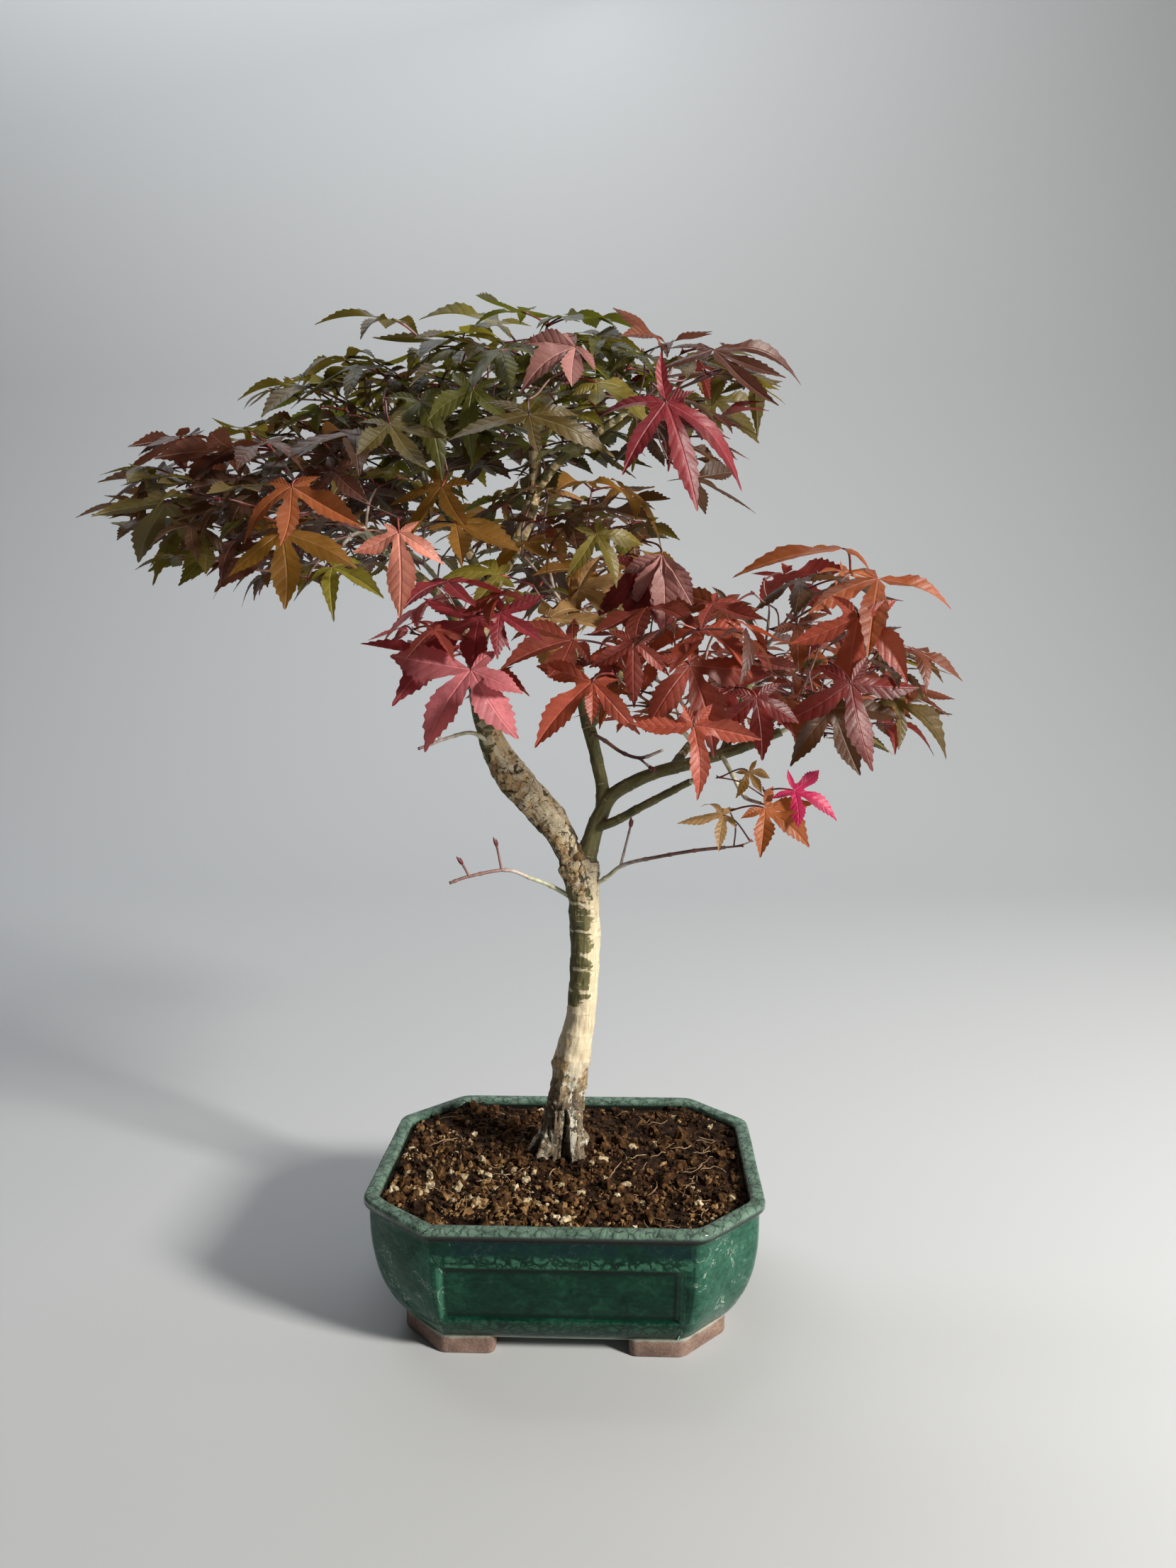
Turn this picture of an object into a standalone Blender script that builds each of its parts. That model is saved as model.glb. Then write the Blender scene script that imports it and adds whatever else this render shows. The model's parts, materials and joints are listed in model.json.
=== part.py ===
"""A young Japanese maple kept as a bonsai in a glazed eight-sided pot.

Sizes are in millimetres until a mesh is made. x runs to the right, y to the back
and z up from the table. The limbs are tapering sweeps along smooth curves. The
foliage is grown by a seeded rule: twigs from one stem for each mass, then leaves.
"""

import math
import random

import bmesh
import bpy
from mathutils import Matrix, Vector
from mathutils.bvhtree import BVHTree

MM = 0.001
GAP = 0.3

# pot: half length, half depth and corner cut at the rim, then heights
POT_HALF_X = 95.0
POT_HALF_Y = 75.0
POT_CUT = 30.0
CORNER_ROUND = 3.0
# inset from the rim's edge, and height
POT_OUTSIDE = ((19.5, 8.0), (17.2, 9.4), (13.0, 14.5), (8.4, 22.5), (5.2, 32.0),
               (3.2, 43.0), (2.6, 61.5), (0.3, 63.2), (0.0, 66.4), (1.2, 67.5))
POT_INSIDE = ((6.0, 67.5), (7.0, 66.4), (7.8, 60.0), (9.0, 45.0), (13.0, 30.0),
              (19.5, 18.0), (25.0, 15.0))
# the long walls lean in less than the ends do
LONG_WALL_SHARE = 0.75
FOOT_OUT = 17.6
FOOT_IN = 31.0
FOOT_TOP = 10.5
FOOT_GAP_X = 31.0
FOOT_GAP_Y = 22.0
PANEL_LOW = 21.0
PANEL_HIGH = 49.0
PANEL_DEEP = 1.4
PANEL_SIDE = 10.5
DRAIN_RADIUS = 6.0
DRAIN_AT = 38.0

SOIL_TOP = 62.6
SOIL_EDGE = 60.5

# limbs: name, sides, points along the middle, radius at each point
TRUNK = ((-5.0, 16.0, 64.0), (-4.0, 16.0, 78.0), (-1.0, 15.5, 96.0), (1.5, 15.0, 113.0),
         (6.0, 14.0, 136.0), (8.5, 12.0, 169.0), (8.5, 10.0, 197.0), (6.5, 9.0, 214.0),
         (7.0, 8.5, 223.0))
TRUNK_RADII = (12.0, 10.2, 9.3, 9.6, 7.7, 7.5, 8.1, 9.3, 6.2)
TRUNK_SIDES = 14
LIMBS = (
    ("leader_lower", 10, (5.0, 9.0, 214.0), 6.6,
     ((-4.5, 9.0, 233.0, 6.6), (-15.5, 9.5, 247.0, 6.7), (-28.0, 9.5, 262.0, 6.6),
      (-37.0, 8.0, 280.0, 6.0), (-41.5, 6.5, 298.0, 5.3), (-43.0, 5.0, 317.0, 4.8))),
    ("leader_upper", 8, (-43.0, 5.0, 313.0), 4.7,
     ((-40.5, 5.0, 334.0, 4.4), (-34.0, 8.0, 356.0, 4.2), (-21.0, 10.5, 379.0, 4.0),
      (-14.5, 12.5, 400.0, 3.4), (-14.0, 14.0, 421.0, 2.6))),
    ("right_bough", 8, (9.0, 7.5, 218.0), 5.2,
     ((13.0, 6.0, 231.0, 4.5), (17.5, 3.5, 243.0, 4.0), (24.0, 1.5, 253.0, 3.5),
      (42.0, -2.0, 263.0, 3.2), (61.0, -5.0, 268.5, 3.0), (84.0, -8.0, 276.0, 2.6),
      (103.0, -10.0, 284.0, 2.2))),
    ("upright_bough", 8, (18.0, 3.5, 243.0), 3.5,
     ((18.0, 4.5, 256.0, 3.3), (14.5, 7.0, 273.0, 3.2), (10.0, 10.0, 291.0, 3.3),
      (7.0, 14.0, 310.0, 2.7), (3.0, 16.0, 330.0, 2.3))),
    ("low_bough", 7, (15.0, 4.0, 236.0), 2.6,
     ((24.0, -3.0, 240.0, 2.3), (37.0, -10.0, 248.0, 2.1), (51.0, -17.0, 256.5, 1.9),
      (60.0, -24.0, 262.0, 1.7))),
    ("left_bough", 7, (-42.0, 5.0, 322.0), 3.4,
     ((-51.0, 1.0, 335.0, 2.9), (-60.0, -4.0, 350.0, 2.6), (-76.0, -7.0, 364.0, 2.2))),
    ("upper_left_bough", 7, (-36.0, 7.0, 350.0), 3.0,
     ((-46.0, 14.0, 368.0, 2.6), (-56.0, 20.0, 386.0, 2.3), (-66.0, 24.0, 401.0, 1.9))),
    ("top_right_bough", 7, (-15.0, 12.5, 398.0), 2.7,
     ((-3.0, 7.0, 411.0, 2.4), (13.0, 2.0, 422.0, 2.1), (28.0, -2.0, 431.0, 1.8))),
    ("front_bough", 6, (-41.0, 6.0, 300.0), 2.6,
     ((-41.0, -6.0, 305.0, 2.1), (-40.0, -17.0, 311.0, 1.9), (-38.0, -28.0, 315.0, 1.6))),
    ("rise_bough", 6, (76.0, -7.0, 273.0), 2.4,
     ((82.0, 0.0, 287.0, 2.1), (88.0, 5.0, 302.0, 1.9), (94.0, 6.0, 317.0, 1.6))),
    ("back_bough", 7, (11.0, 9.0, 285.0), 2.8,
     ((16.0, 26.0, 291.0, 2.5), (22.0, 44.0, 301.0, 2.3), (27.0, 60.0, 311.0, 2.0))),
    ("back_left_bough", 7, (-41.0, 5.0, 326.0), 2.8,
     ((-46.0, 22.0, 333.0, 2.5), (-54.0, 40.0, 342.0, 2.2), (-62.0, 56.0, 350.0, 1.8))),
    ("back_right_bough", 6, (52.0, -3.0, 266.0), 2.5,
     ((60.0, 14.0, 274.0, 2.2), (72.0, 32.0, 284.0, 1.9), (84.0, 46.0, 294.0, 1.7))),
    ("right_twig", 5, (10.0, 9.0, 203.0), 1.5,
     ((20.0, 3.0, 211.0, 1.25), (29.0, -2.0, 218.5, 1.15), (46.0, -10.0, 224.0, 1.05),
      (63.0, -18.0, 228.5, 1.0), (76.0, -24.0, 231.0, 0.95))),
    ("left_twig", 5, (3.0, 9.0, 199.0), 1.6,
     ((-8.0, 6.0, 206.0, 1.25), (-17.0, 2.0, 210.5, 1.15), (-29.0, -4.0, 216.0, 1.05),
      (-46.0, -12.0, 214.5, 0.95), (-55.0, -16.0, 212.0, 0.85))),
    ("left_upper_twig", 5, (-34.0, 8.0, 274.0), 1.6,
     ((-44.0, -1.0, 283.0, 1.2), (-55.0, -8.0, 281.5, 1.05), (-68.0, -18.0, 277.0, 0.85))),
    ("inner_twig", 5, (12.0, 9.0, 282.0), 1.5,
     ((19.0, 0.0, 279.5, 1.15), (28.0, -7.0, 274.0, 1.05), (37.0, -13.0, 272.0, 0.95),
      (47.0, -18.0, 276.0, 0.8))),
    ("lower_spray_twig", 5, (75.0, -7.5, 273.5), 1.5,
     ((80.0, -14.0, 264.0, 1.2), (85.0, -20.0, 254.5, 1.1), (92.0, -26.0, 252.0, 0.95))),
)

# short budded spurs: the twig they stand on, foot, tip
SPURS = (
    ("left_twig", (-31.0, -5.0, 216.0), (-33.0, -8.0, 229.0)),
    ("left_twig", (-46.0, -12.0, 214.5), (-49.0, -15.0, 221.5)),
    ("right_twig", (27.0, -1.0, 217.5), (32.0, -4.0, 238.0)),
    ("inner_twig", (36.0, -12.5, 272.0), (41.0, -16.0, 268.0)),
    ("left_upper_twig", (-58.0, -10.0, 280.5), (-63.0, -13.0, 285.0)),
)

SPUR_RADII = (0.7, 0.65, 1.15, 0.5)

# leaf: lobes as turn from the middle one and length, then the outline's shape
LOBES = ((-100.0, 0.60), (-48.0, 0.90), (0.0, 1.0), (48.0, 0.90), (100.0, 0.60))
SHOULDER_AT = 0.50
SHOULDER_HALF = 0.135
SINUS = 0.20
LEAF_THICK = 1.3
STALK_RADIUS = 0.5
TWIG_RADIUS = 0.55

# masses: name, the limb it grows from, middle, half sizes of its space, leaves
MASSES = (
    ("foliage_left", "left_bough", (-133.0, -12.0, 386.0), (86.0, 80.0, 44.0), 22),
    ("foliage_upper_left", "upper_left_bough", (-88.0, 30.0, 430.0), (76.0, 72.0, 44.0), 19),
    ("foliage_top", "leader_upper", (-16.0, 26.0, 444.0), (80.0, 84.0, 48.0), 21),
    ("foliage_top_right", "top_right_bough", (56.0, 8.0, 440.0), (54.0, 60.0, 40.0), 12),
    ("foliage_centre", "upright_bough", (2.0, 18.0, 366.0), (60.0, 70.0, 50.0), 13),
    ("foliage_front", "front_bough", (-38.0, -50.0, 328.0), (46.0, 46.0, 36.0), 6),
    ("foliage_middle", "low_bough", (50.0, -44.0, 314.0), (64.0, 54.0, 38.0), 12),
    ("foliage_right", "right_bough", (128.0, -16.0, 305.0), (60.0, 58.0, 34.0), 11),
    ("foliage_right_upper", "rise_bough", (112.0, 6.0, 340.0), (62.0, 58.0, 34.0), 10),
    ("foliage_back", "back_bough", (0.0, 94.0, 370.0), (66.0, 54.0, 50.0), 9),
    ("foliage_back_left", "back_left_bough", (-108.0, 88.0, 396.0), (78.0, 54.0, 42.0), 9),
    ("foliage_back_right", "back_right_bough", (118.0, 78.0, 304.0), (68.0, 54.0, 34.0), 9),
    ("spray_low_right", "right_twig", (88.0, -30.0, 243.0), (40.0, 30.0, 24.0), 2),
    ("spray_small", "lower_spray_twig", (104.0, -28.0, 254.0), (36.0, 30.0, 24.0), 2),
)

# placed leaves: mass, middle x y z, turn in the front view, tip towards the front,
# share of the blade facing up, length of the middle lobe
PLACED = (
    ("foliage_top_right", 47, -70, 422, -70, 18, 0.25, 43),
    ("foliage_top_right", 68, -40, 450, -30, 15, 0.40, 41),
    ("foliage_top_right", 44, -30, 458, 142, 5, 0.70, 24),
    ("foliage_top_right", 60, -22, 399, -20, 10, 0.60, 31),
    ("foliage_top_right", 25, -14, 450, 110, 5, 0.40, 18),
    ("foliage_top", 9, -40, 452, -155, 25, 0.40, 36),
    ("foliage_top", -8, -75, 417, -78, 25, 0.35, 40),
    ("foliage_top", -23, -44, 450, -140, 25, 0.55, 38),
    ("foliage_top", -29, 0, 474, 160, 0, 0.60, 38),
    ("foliage_top", -52, 4, 468, 190, 10, 0.60, 38),
    ("foliage_upper_left", -77, 0, 477, 172, 0, 0.65, 38),
    ("foliage_upper_left", -92, -14, 452, 200, 15, 0.60, 34),
    ("foliage_upper_left", -85, -50, 415, -160, 30, 0.45, 40),
    ("foliage_upper_left", -119, -4, 446, 172, 5, 0.60, 40),
    ("foliage_upper_left", -60, -34, 432, -60, 30, 0.60, 36),
    ("foliage_left", -106, -75, 390, -85, 30, 0.45, 40),
    ("foliage_left", -117, -56, 374, -80, 20, 0.35, 40),
    ("foliage_left", -60, -86, 370, -84, 18, 0.35, 43),
    ("foliage_left", -158, 6, 416, 175, 5, 0.60, 36),
    ("foliage_left", -184, -10, 404, 185, 12, 0.60, 36),
    ("foliage_left", -44, -44, 378, -25, 15, 0.50, 30),
    ("foliage_upper_left", -52, -30, 396, -120, 20, 0.50, 34),
    ("foliage_left", -176, -6, 386, 192, 15, 0.60, 38),
    ("foliage_left", -170, 2, 374, 200, 10, 0.50, 38),
    ("foliage_left", -150, -34, 386, -120, 20, 0.45, 36),
    ("foliage_left", -100, -40, 360, -30, 10, 0.40, 29),
    ("foliage_centre", 37, -35, 360, -95, 10, 0.20, 38),
    ("foliage_centre", -4, -40, 338, -10, 20, 0.50, 34),
    ("foliage_centre", 11, -20, 349, 20, 10, 0.40, 33),
    ("foliage_centre", -25, -40, 356, 170, 20, 0.50, 28),
    ("foliage_front", -33, -80, 315, -106, 20, 0.25, 39),
    ("foliage_front", -33, -55, 336, -160, 20, 0.50, 36),
    ("foliage_front", -46, -60, 326, 172, 15, 0.60, 34),
    ("foliage_middle", 17, -85, 310, -110, 20, 0.45, 36),
    ("foliage_middle", 9, -56, 324, -170, 20, 0.50, 34),
    ("foliage_middle", 57, -70, 316, -60, 20, 0.50, 38),
    ("foliage_middle", 75, -48, 306, -25, 20, 0.50, 34),
    ("foliage_middle", 58, -85, 292, -84, 20, 0.40, 38),
    ("foliage_right_upper", 130, -50, 336, -100, 15, 0.35, 40),
    ("foliage_right_upper", 141, -36, 353, -14, 10, 0.50, 36),
    ("foliage_right_upper", 127, -22, 367, 186, 5, 0.65, 40),
    ("foliage_right_upper", 76, -42, 340, -150, 15, 0.50, 33),
    ("foliage_right_upper", 110, -10, 334, -20, 15, 0.50, 29),
    ("foliage_right", 125, -62, 309, -75, 15, 0.35, 40),
    ("foliage_right", 148, -12, 303, -5, 10, 0.65, 34),
    ("foliage_right", 120, -48, 297, -70, 15, 0.40, 36),
    ("foliage_right", 146, -30, 296, -30, 10, 0.50, 33),
    ("spray_low_right", 93, -35, 251, -35, 15, 0.50, 28),
    ("spray_low_right", 75, -30, 247, 178, 10, 0.50, 22),
    ("spray_small", 108, -27, 255, -20, 10, 0.50, 26),
    ("spray_small", 86, -32, 266, -60, 10, 0.40, 14),
)

LEAF_LONG = 33.5
LEAF_SPREAD = 5.0
TRIES = 10
SEED = 11

COLOURS = {
    "pot": (0.03, 0.16, 0.11), "soil": (0.10, 0.05, 0.025), "trunk": (0.36, 0.31, 0.20),
    "limb": (0.27, 0.25, 0.13), "foliage_left": (0.25, 0.14, 0.06),
    "foliage_upper_left": (0.15, 0.14, 0.05), "foliage_top": (0.16, 0.16, 0.05),
    "foliage_top_right": (0.40, 0.06, 0.05), "foliage_centre": (0.30, 0.24, 0.05),
    "foliage_front": (0.62, 0.06, 0.08), "foliage_middle": (0.66, 0.10, 0.05),
    "foliage_right": (0.45, 0.10, 0.05), "foliage_right_upper": (0.55, 0.14, 0.05),
    "foliage_back": (0.40, 0.14, 0.06), "foliage_back_left": (0.18, 0.16, 0.06),
    "foliage_back_right": (0.50, 0.12, 0.05), "spray_low_right": (0.60, 0.20, 0.06),
    "spray_small": (0.70, 0.05, 0.16),
}
ROUGHNESS = {"pot": 0.25, "soil": 0.9, "trunk": 0.9, "limb": 0.9}
LEAF_ROUGHNESS = 0.55


def clear_scene():
    for thing in list(bpy.data.objects):
        bpy.data.objects.remove(thing, do_unlink=True)


def material(name, colour, roughness):
    made = bpy.data.materials.new(name)
    made.use_nodes = True
    shader = made.node_tree.nodes["Principled BSDF"]
    shader.inputs["Base Color"].default_value = (*colour, 1.0)
    shader.inputs["Roughness"].default_value = roughness
    return made


def place(name, verts, faces):
    """A new object from points in millimetres."""
    mesh = bpy.data.meshes.new(name)
    mesh.from_pydata([Vector(v) * MM for v in verts], [], faces)
    mesh.update()
    thing = bpy.data.objects.new(name, mesh)
    bpy.context.scene.collection.objects.link(thing)
    return thing


def face_outwards(thing):
    shape = bmesh.new()
    shape.from_mesh(thing.data)
    bmesh.ops.recalc_face_normals(shape, faces=shape.faces)
    shape.to_mesh(thing.data)
    shape.free()


def apply_modifiers(thing):
    """The object's mesh replaced by what its modifiers make of it."""
    graph = bpy.context.evaluated_depsgraph_get()
    made = bpy.data.meshes.new_from_object(thing.evaluated_get(graph))
    old = thing.data
    thing.modifiers.clear()
    thing.data = made
    bpy.data.meshes.remove(old)


def boolean(thing, other, operation, solver="EXACT"):
    change = thing.modifiers.new(operation.lower(), "BOOLEAN")
    change.operation = operation
    change.solver = solver
    change.object = other
    apply_modifiers(thing)


def remove(thing):
    mesh = thing.data
    bpy.data.objects.remove(thing, do_unlink=True)
    bpy.data.meshes.remove(mesh)


def islands(shape):
    """The faces of a mesh grouped by the piece they belong to."""
    left = set(shape.faces)
    groups = []
    while left:
        start = left.pop()
        group = [start]
        queue = [start]
        while queue:
            for edge in queue.pop().edges:
                for face in edge.link_faces:
                    if face in left:
                        left.remove(face)
                        group.append(face)
                        queue.append(face)
        groups.append(group)
    return groups


def signed_volume(faces):
    total = 0.0
    for face in faces:
        points = [v.co for v in face.verts]
        for b, c in zip(points[1:-1], points[2:]):
            total += points[0].dot(b.cross(c)) / 6.0
    return total


def keep_main_piece(thing):
    """Loose scraps and sealed hollows dropped, leaving the one closed body."""
    shape = bmesh.new()
    shape.from_mesh(thing.data)
    groups = islands(shape)
    main = max(groups, key=signed_volume)
    drop = [face for group in groups if group is not main for face in group]
    bmesh.ops.delete(shape, geom=drop, context="FACES")
    loose = [v for v in shape.verts if not v.link_faces]
    bmesh.ops.delete(shape, geom=loose, context="VERTS")
    shape.to_mesh(thing.data)
    shape.free()
    return len(groups)


def shade_smooth(thing, angle):
    thing.data.shade_smooth()
    thing.data.set_sharp_from_angle(angle=math.radians(angle))


# ---------------------------------------------------------------- the pot and the soil

def eight_sided(inset, share=1.0, rounding=CORNER_ROUND):
    """The pot's plan drawn in by an inset, or by a share of it on the long walls."""
    half_x = POT_HALF_X - inset
    half_y = POT_HALF_Y - inset * share
    cut = POT_CUT - inset * (1.0 + share) * (1.0 - math.sqrt(0.5))
    corners = []
    for sx, sy in ((1, -1), (1, 1), (-1, 1), (-1, -1)):
        on_long_wall = Vector((sx * (half_x - cut), sy * half_y))
        on_end_wall = Vector((sx * half_x, sy * (half_y - cut)))
        corners += [on_long_wall, on_end_wall] if sx * sy < 0 else [on_end_wall, on_long_wall]
    plan = []
    for i, corner in enumerate(corners):
        before = (corners[i - 1] - corner).normalized() * rounding
        after = (corners[(i + 1) % 8] - corner).normalized() * rounding
        plan += [corner + before, corner + (before + after) * 0.22, corner + after]
    return plan


def loft(name, rings):
    """A closed body through rings of equal count, its first and last ring capped."""
    verts = [p for ring in rings for p in ring]
    count = len(rings[0])
    faces = []
    for i in range(len(rings) - 1):
        for k in range(count):
            a = i * count + k
            b = i * count + (k + 1) % count
            faces.append((a, b, b + count, a + count))
    faces.append(tuple(range(count))[::-1])
    faces.append(tuple(range(len(verts) - count, len(verts))))
    thing = place(name, verts, faces)
    face_outwards(thing)
    return thing


def at_height(plan, z):
    return [Vector((p.x, p.y, z)) for p in plan]


def foot_gap(name, half, along_x, reach):
    """A cutter with a low arched profile, run right through under the pot."""
    top = FOOT_TOP - 2.6
    left = ((-half, -1.0), (-half, top - 4.0), (-half + 1.2, top - 1.2), (-half + 4.0, top))
    profile = left + tuple((-a, z) for a, z in reversed(left))
    rings = []
    for far in (-reach, reach):
        rings.append([Vector((a, far, z)) if along_x else Vector((far, a, z)) for a, z in profile])
    return loft(name, rings)


def make_pot():
    """The lofted bowl, its feet, its four sunk panels and its two drain holes."""
    rings = [at_height(eight_sided(inset, LONG_WALL_SHARE), z) for inset, z in POT_OUTSIDE]
    rings += [at_height(eight_sided(inset), z) for inset, z in POT_INSIDE]
    pot = loft("pot", rings)
    feet = make_feet()
    boolean(pot, feet, "UNION")
    remove(feet)
    flat_x = POT_HALF_X - POT_CUT - PANEL_SIDE + 4.0
    flat_y = POT_HALF_Y - POT_CUT - PANEL_SIDE + 4.0
    for side in (-1.0, 1.0):
        cut_away(pot, panel_cutter(side, flat_x, POT_HALF_Y, LONG_WALL_SHARE, True))
        cut_away(pot, panel_cutter(side, flat_y, POT_HALF_X, 1.0, False))
    for x in (-DRAIN_AT, DRAIN_AT):
        ring = []
        for k in range(20):
            turn = math.tau * k / 20
            ring.append(Vector((x + DRAIN_RADIUS * math.cos(turn), DRAIN_RADIUS * math.sin(turn), 0.0)))
        low = [p + Vector((0.0, 0.0, 5.0)) for p in ring]
        high = [p + Vector((0.0, 0.0, 18.0)) for p in ring]
        cut_away(pot, loft("drill", [low, high]))
    keep_main_piece(pot)
    shade_smooth(pot, 35.0)
    return pot


def cut_away(thing, cutter):
    boolean(thing, cutter, "DIFFERENCE")
    remove(cutter)


def make_feet():
    """A band under the pot, hollow in the middle and cut through between its four feet."""
    low = eight_sided(FOOT_OUT + 1.2, LONG_WALL_SHARE)
    high = eight_sided(FOOT_OUT, LONG_WALL_SHARE)
    rings = [at_height(low, 0.0), at_height(high, 1.6), at_height(high, FOOT_TOP)]
    feet = loft("feet", rings)
    core = eight_sided(FOOT_IN)
    cut_away(feet, loft("core", [at_height(core, -1.0), at_height(core, 8.0)]))
    cut_away(feet, foot_gap("gap_x", FOOT_GAP_X, True, 90.0))
    cut_away(feet, foot_gap("gap_y", FOOT_GAP_Y, False, 110.0))
    return feet


def panel_cutter(side, flat, half, share, along_x):
    """What is cut from one wall to sink its panel, following the wall's curve."""
    rings = []
    for z in (PANEL_LOW, 25.0, 32.0, 40.0, PANEL_HIGH):
        wall = half - wall_inset(z) * share
        near = side * (wall - PANEL_DEEP)
        far = side * (wall + 6.0)
        ring = ((-flat, near), (flat, near), (flat, far), (-flat, far))
        rings.append([Vector((a, b, z)) if along_x else Vector((b, a, z)) for a, b in ring])
    return loft("panel", rings)


def wall_inset(z):
    """How far the pot's outside stands in from the rim at a height."""
    for (a, low), (b, high) in zip(POT_OUTSIDE, POT_OUTSIDE[1:]):
        if low <= z <= high:
            return a + (b - a) * (z - low) / (high - low)
    return 0.0


def make_soil():
    """Soil filling the pot to just under its rim, with a flat place for the trunk."""
    rings = []
    for inset, z in reversed(POT_INSIDE[3:]):
        rings.append(at_height(eight_sided(inset + GAP), z + GAP))
    rings.append(at_height(eight_sided(8.2 + GAP), 57.0))
    rings.append(at_height(eight_sided(8.0 + GAP), SOIL_EDGE))
    rings.append(at_height(eight_sided(16.0), SOIL_EDGE + 1.2))
    rings.append(at_height(eight_sided(36.0, rounding=2.0), SOIL_TOP))
    soil = loft("soil", rings)
    keep_main_piece(soil)
    shade_smooth(soil, 30.0)
    return soil


# ---------------------------------------------------------------- limbs

def curve_through(points, steps):
    """A smooth curve through points that may carry a radius as a fourth number."""
    ends = [2 * points[0] - points[1], *points, 2 * points[-1] - points[-2]]
    line = []
    for a, b, c, d in zip(ends, ends[1:], ends[2:], ends[3:]):
        for k in range(steps):
            t = k / steps
            line.append(0.5 * (2 * b + (c - a) * t + (2 * a - 5 * b + 4 * c - d) * t * t
                               + (3 * b - a - 3 * c + d) * t ** 3))
    line.append(points[-1].copy())
    return line


def tube(line, radii, sides, wide=None):
    """Points and faces of a closed tapering sweep along a line."""
    verts = []
    faces = []
    heading = (line[1] - line[0]).normalized()
    across = heading.orthogonal().normalized()
    for i, (point, radius) in enumerate(zip(line, radii)):
        ahead = line[min(i + 1, len(line) - 1)] - line[max(i - 1, 0)]
        ahead.normalize()
        across = (across - ahead * across.dot(ahead)).normalized()
        other = ahead.cross(across)
        for k in range(sides):
            turn = math.tau * k / sides
            out = across * math.cos(turn) + other * math.sin(turn)
            verts.append(point + out * radius * (wide(point, out) if wide else 1.0))
    for i in range(len(line) - 1):
        for k in range(sides):
            a = i * sides + k
            b = i * sides + (k + 1) % sides
            faces.append((a, b, b + sides, a + sides))
    faces.append(tuple(range(sides))[::-1])
    faces.append(tuple(range(len(verts) - sides, len(verts))))
    return verts, faces


def root_flare(point, out):
    """How much wider the trunk's foot stands over its buttress roots."""
    low = math.exp(-(point.z - SOIL_TOP) / 9.0)
    turn = math.atan2(out.y, out.x)
    ridge = 0.5 + 0.5 * math.cos(3.0 * turn + 0.6)
    return 1.0 + low * (0.16 + 0.30 * ridge)


def make_trunk():
    points = [Vector((*p, r)) for p, r in zip(TRUNK, TRUNK_RADII)]
    line = curve_through(points, 2)
    base = SOIL_TOP + GAP
    verts, faces = tube([p.xyz for p in line], [p.w for p in line], TRUNK_SIDES, root_flare)
    for v in verts[:TRUNK_SIDES]:
        v.z = base
    trunk = place("trunk", verts, faces)
    face_outwards(trunk)
    keep_main_piece(trunk)
    return trunk


def limb_line(start, radius, points):
    rows = [Vector((*start, radius))] + [Vector(p) for p in points]
    return curve_through(rows, 2)


def spur_line(foot, tip):
    foot = Vector(foot)
    tip = Vector(tip)
    return [foot, foot.lerp(tip, 0.6), foot.lerp(tip, 0.85), tip]


def seat(thing, cutters):
    """The limb's foot cut to the shape of each limb it grows from, a hair clear."""
    own = tree_of(thing)
    for cutter in cutters:
        if tree_of(cutter).overlap(own):
            boolean(thing, cutter, "DIFFERENCE")
            keep_main_piece(thing)


def tree_of(thing):
    points = [v.co / MM for v in thing.data.vertices]
    return BVHTree.FromPolygons(points, [tuple(p.vertices) for p in thing.data.polygons])


# ---------------------------------------------------------------- leaves and twigs

def leaf_outline(spread):
    """The five-lobed outline as points about the foot of the blade, in leaf lengths."""
    outline = [(-0.05, -0.03)]
    for i, (turn, length) in enumerate(LOBES):
        turn *= spread
        if i:
            middle = math.radians((LOBES[i - 1][0] * spread + turn) / 2.0)
            outline.append((SINUS * math.cos(middle), SINUS * math.sin(middle)))
        angle = math.radians(turn)
        basal = i in (0, len(LOBES) - 1)
        shape = ((1.0, 0.0),) if basal else ((SHOULDER_AT, -1.0), (1.0, 0.0), (SHOULDER_AT, 1.0))
        for along, aside in shape:
            x = along * length
            y = aside * SHOULDER_HALF
            outline.append((x * math.cos(angle) - y * math.sin(angle),
                            x * math.sin(angle) + y * math.cos(angle)))
    outline.append((-0.05, 0.03))
    return outline


def leaf_shape(frame, length, droop, spread, foot=None, extra=0.0):
    """A thin blade, a star of flat faces over and under its outline, on its stalk."""
    verts = []
    for x, y in leaf_outline(spread):
        far = x * x + y * y
        verts.append(Vector((x * (length + extra), y * (length + extra), -droop * far * length)))
    count = len(verts)
    half = LEAF_THICK / 2.0 + extra
    verts += [Vector((0.05 * length, 0.0, half)), Vector((0.05 * length, 0.0, -half))]
    faces = []
    for k in range(count - 1):
        faces.append((k, k + 1, count))
        faces.append((k + 1, k, count + 1))
    low = None
    if foot is not None:
        foot = frame.inverted() @ foot
        low = foot.z < 0.0
    if low is not True:
        faces.append((0, count + 1, count - 1))
    if low is not False:
        faces.append((count - 1, count, 0))
    if foot is not None:
        mouth = (0, count - 1, count + 1) if low else (0, count - 1, count)
        middle = sum((verts[i] for i in mouth), Vector()) / 3.0
        heading = (foot - middle).normalized()
        ring = []
        for i in mouth:
            out = verts[i] - middle
            out = (out - heading * out.dot(heading)).normalized()
            ring.append(len(verts))
            verts.append(foot + out * STALK_RADIUS)
        for i in range(3):
            after = (i + 1) % 3
            faces.append((mouth[i], mouth[after], ring[after]))
            faces.append((mouth[i], ring[after], ring[i]))
        faces.append(tuple(ring))
    return [frame @ v for v in verts], faces


def leaf_frame(centre, axis, up):
    x = axis.normalized()
    z = (up - x * up.dot(x)).normalized()
    y = z.cross(x)
    return Matrix.Translation(centre) @ Matrix((x, y, z)).transposed().to_4x4()


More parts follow.
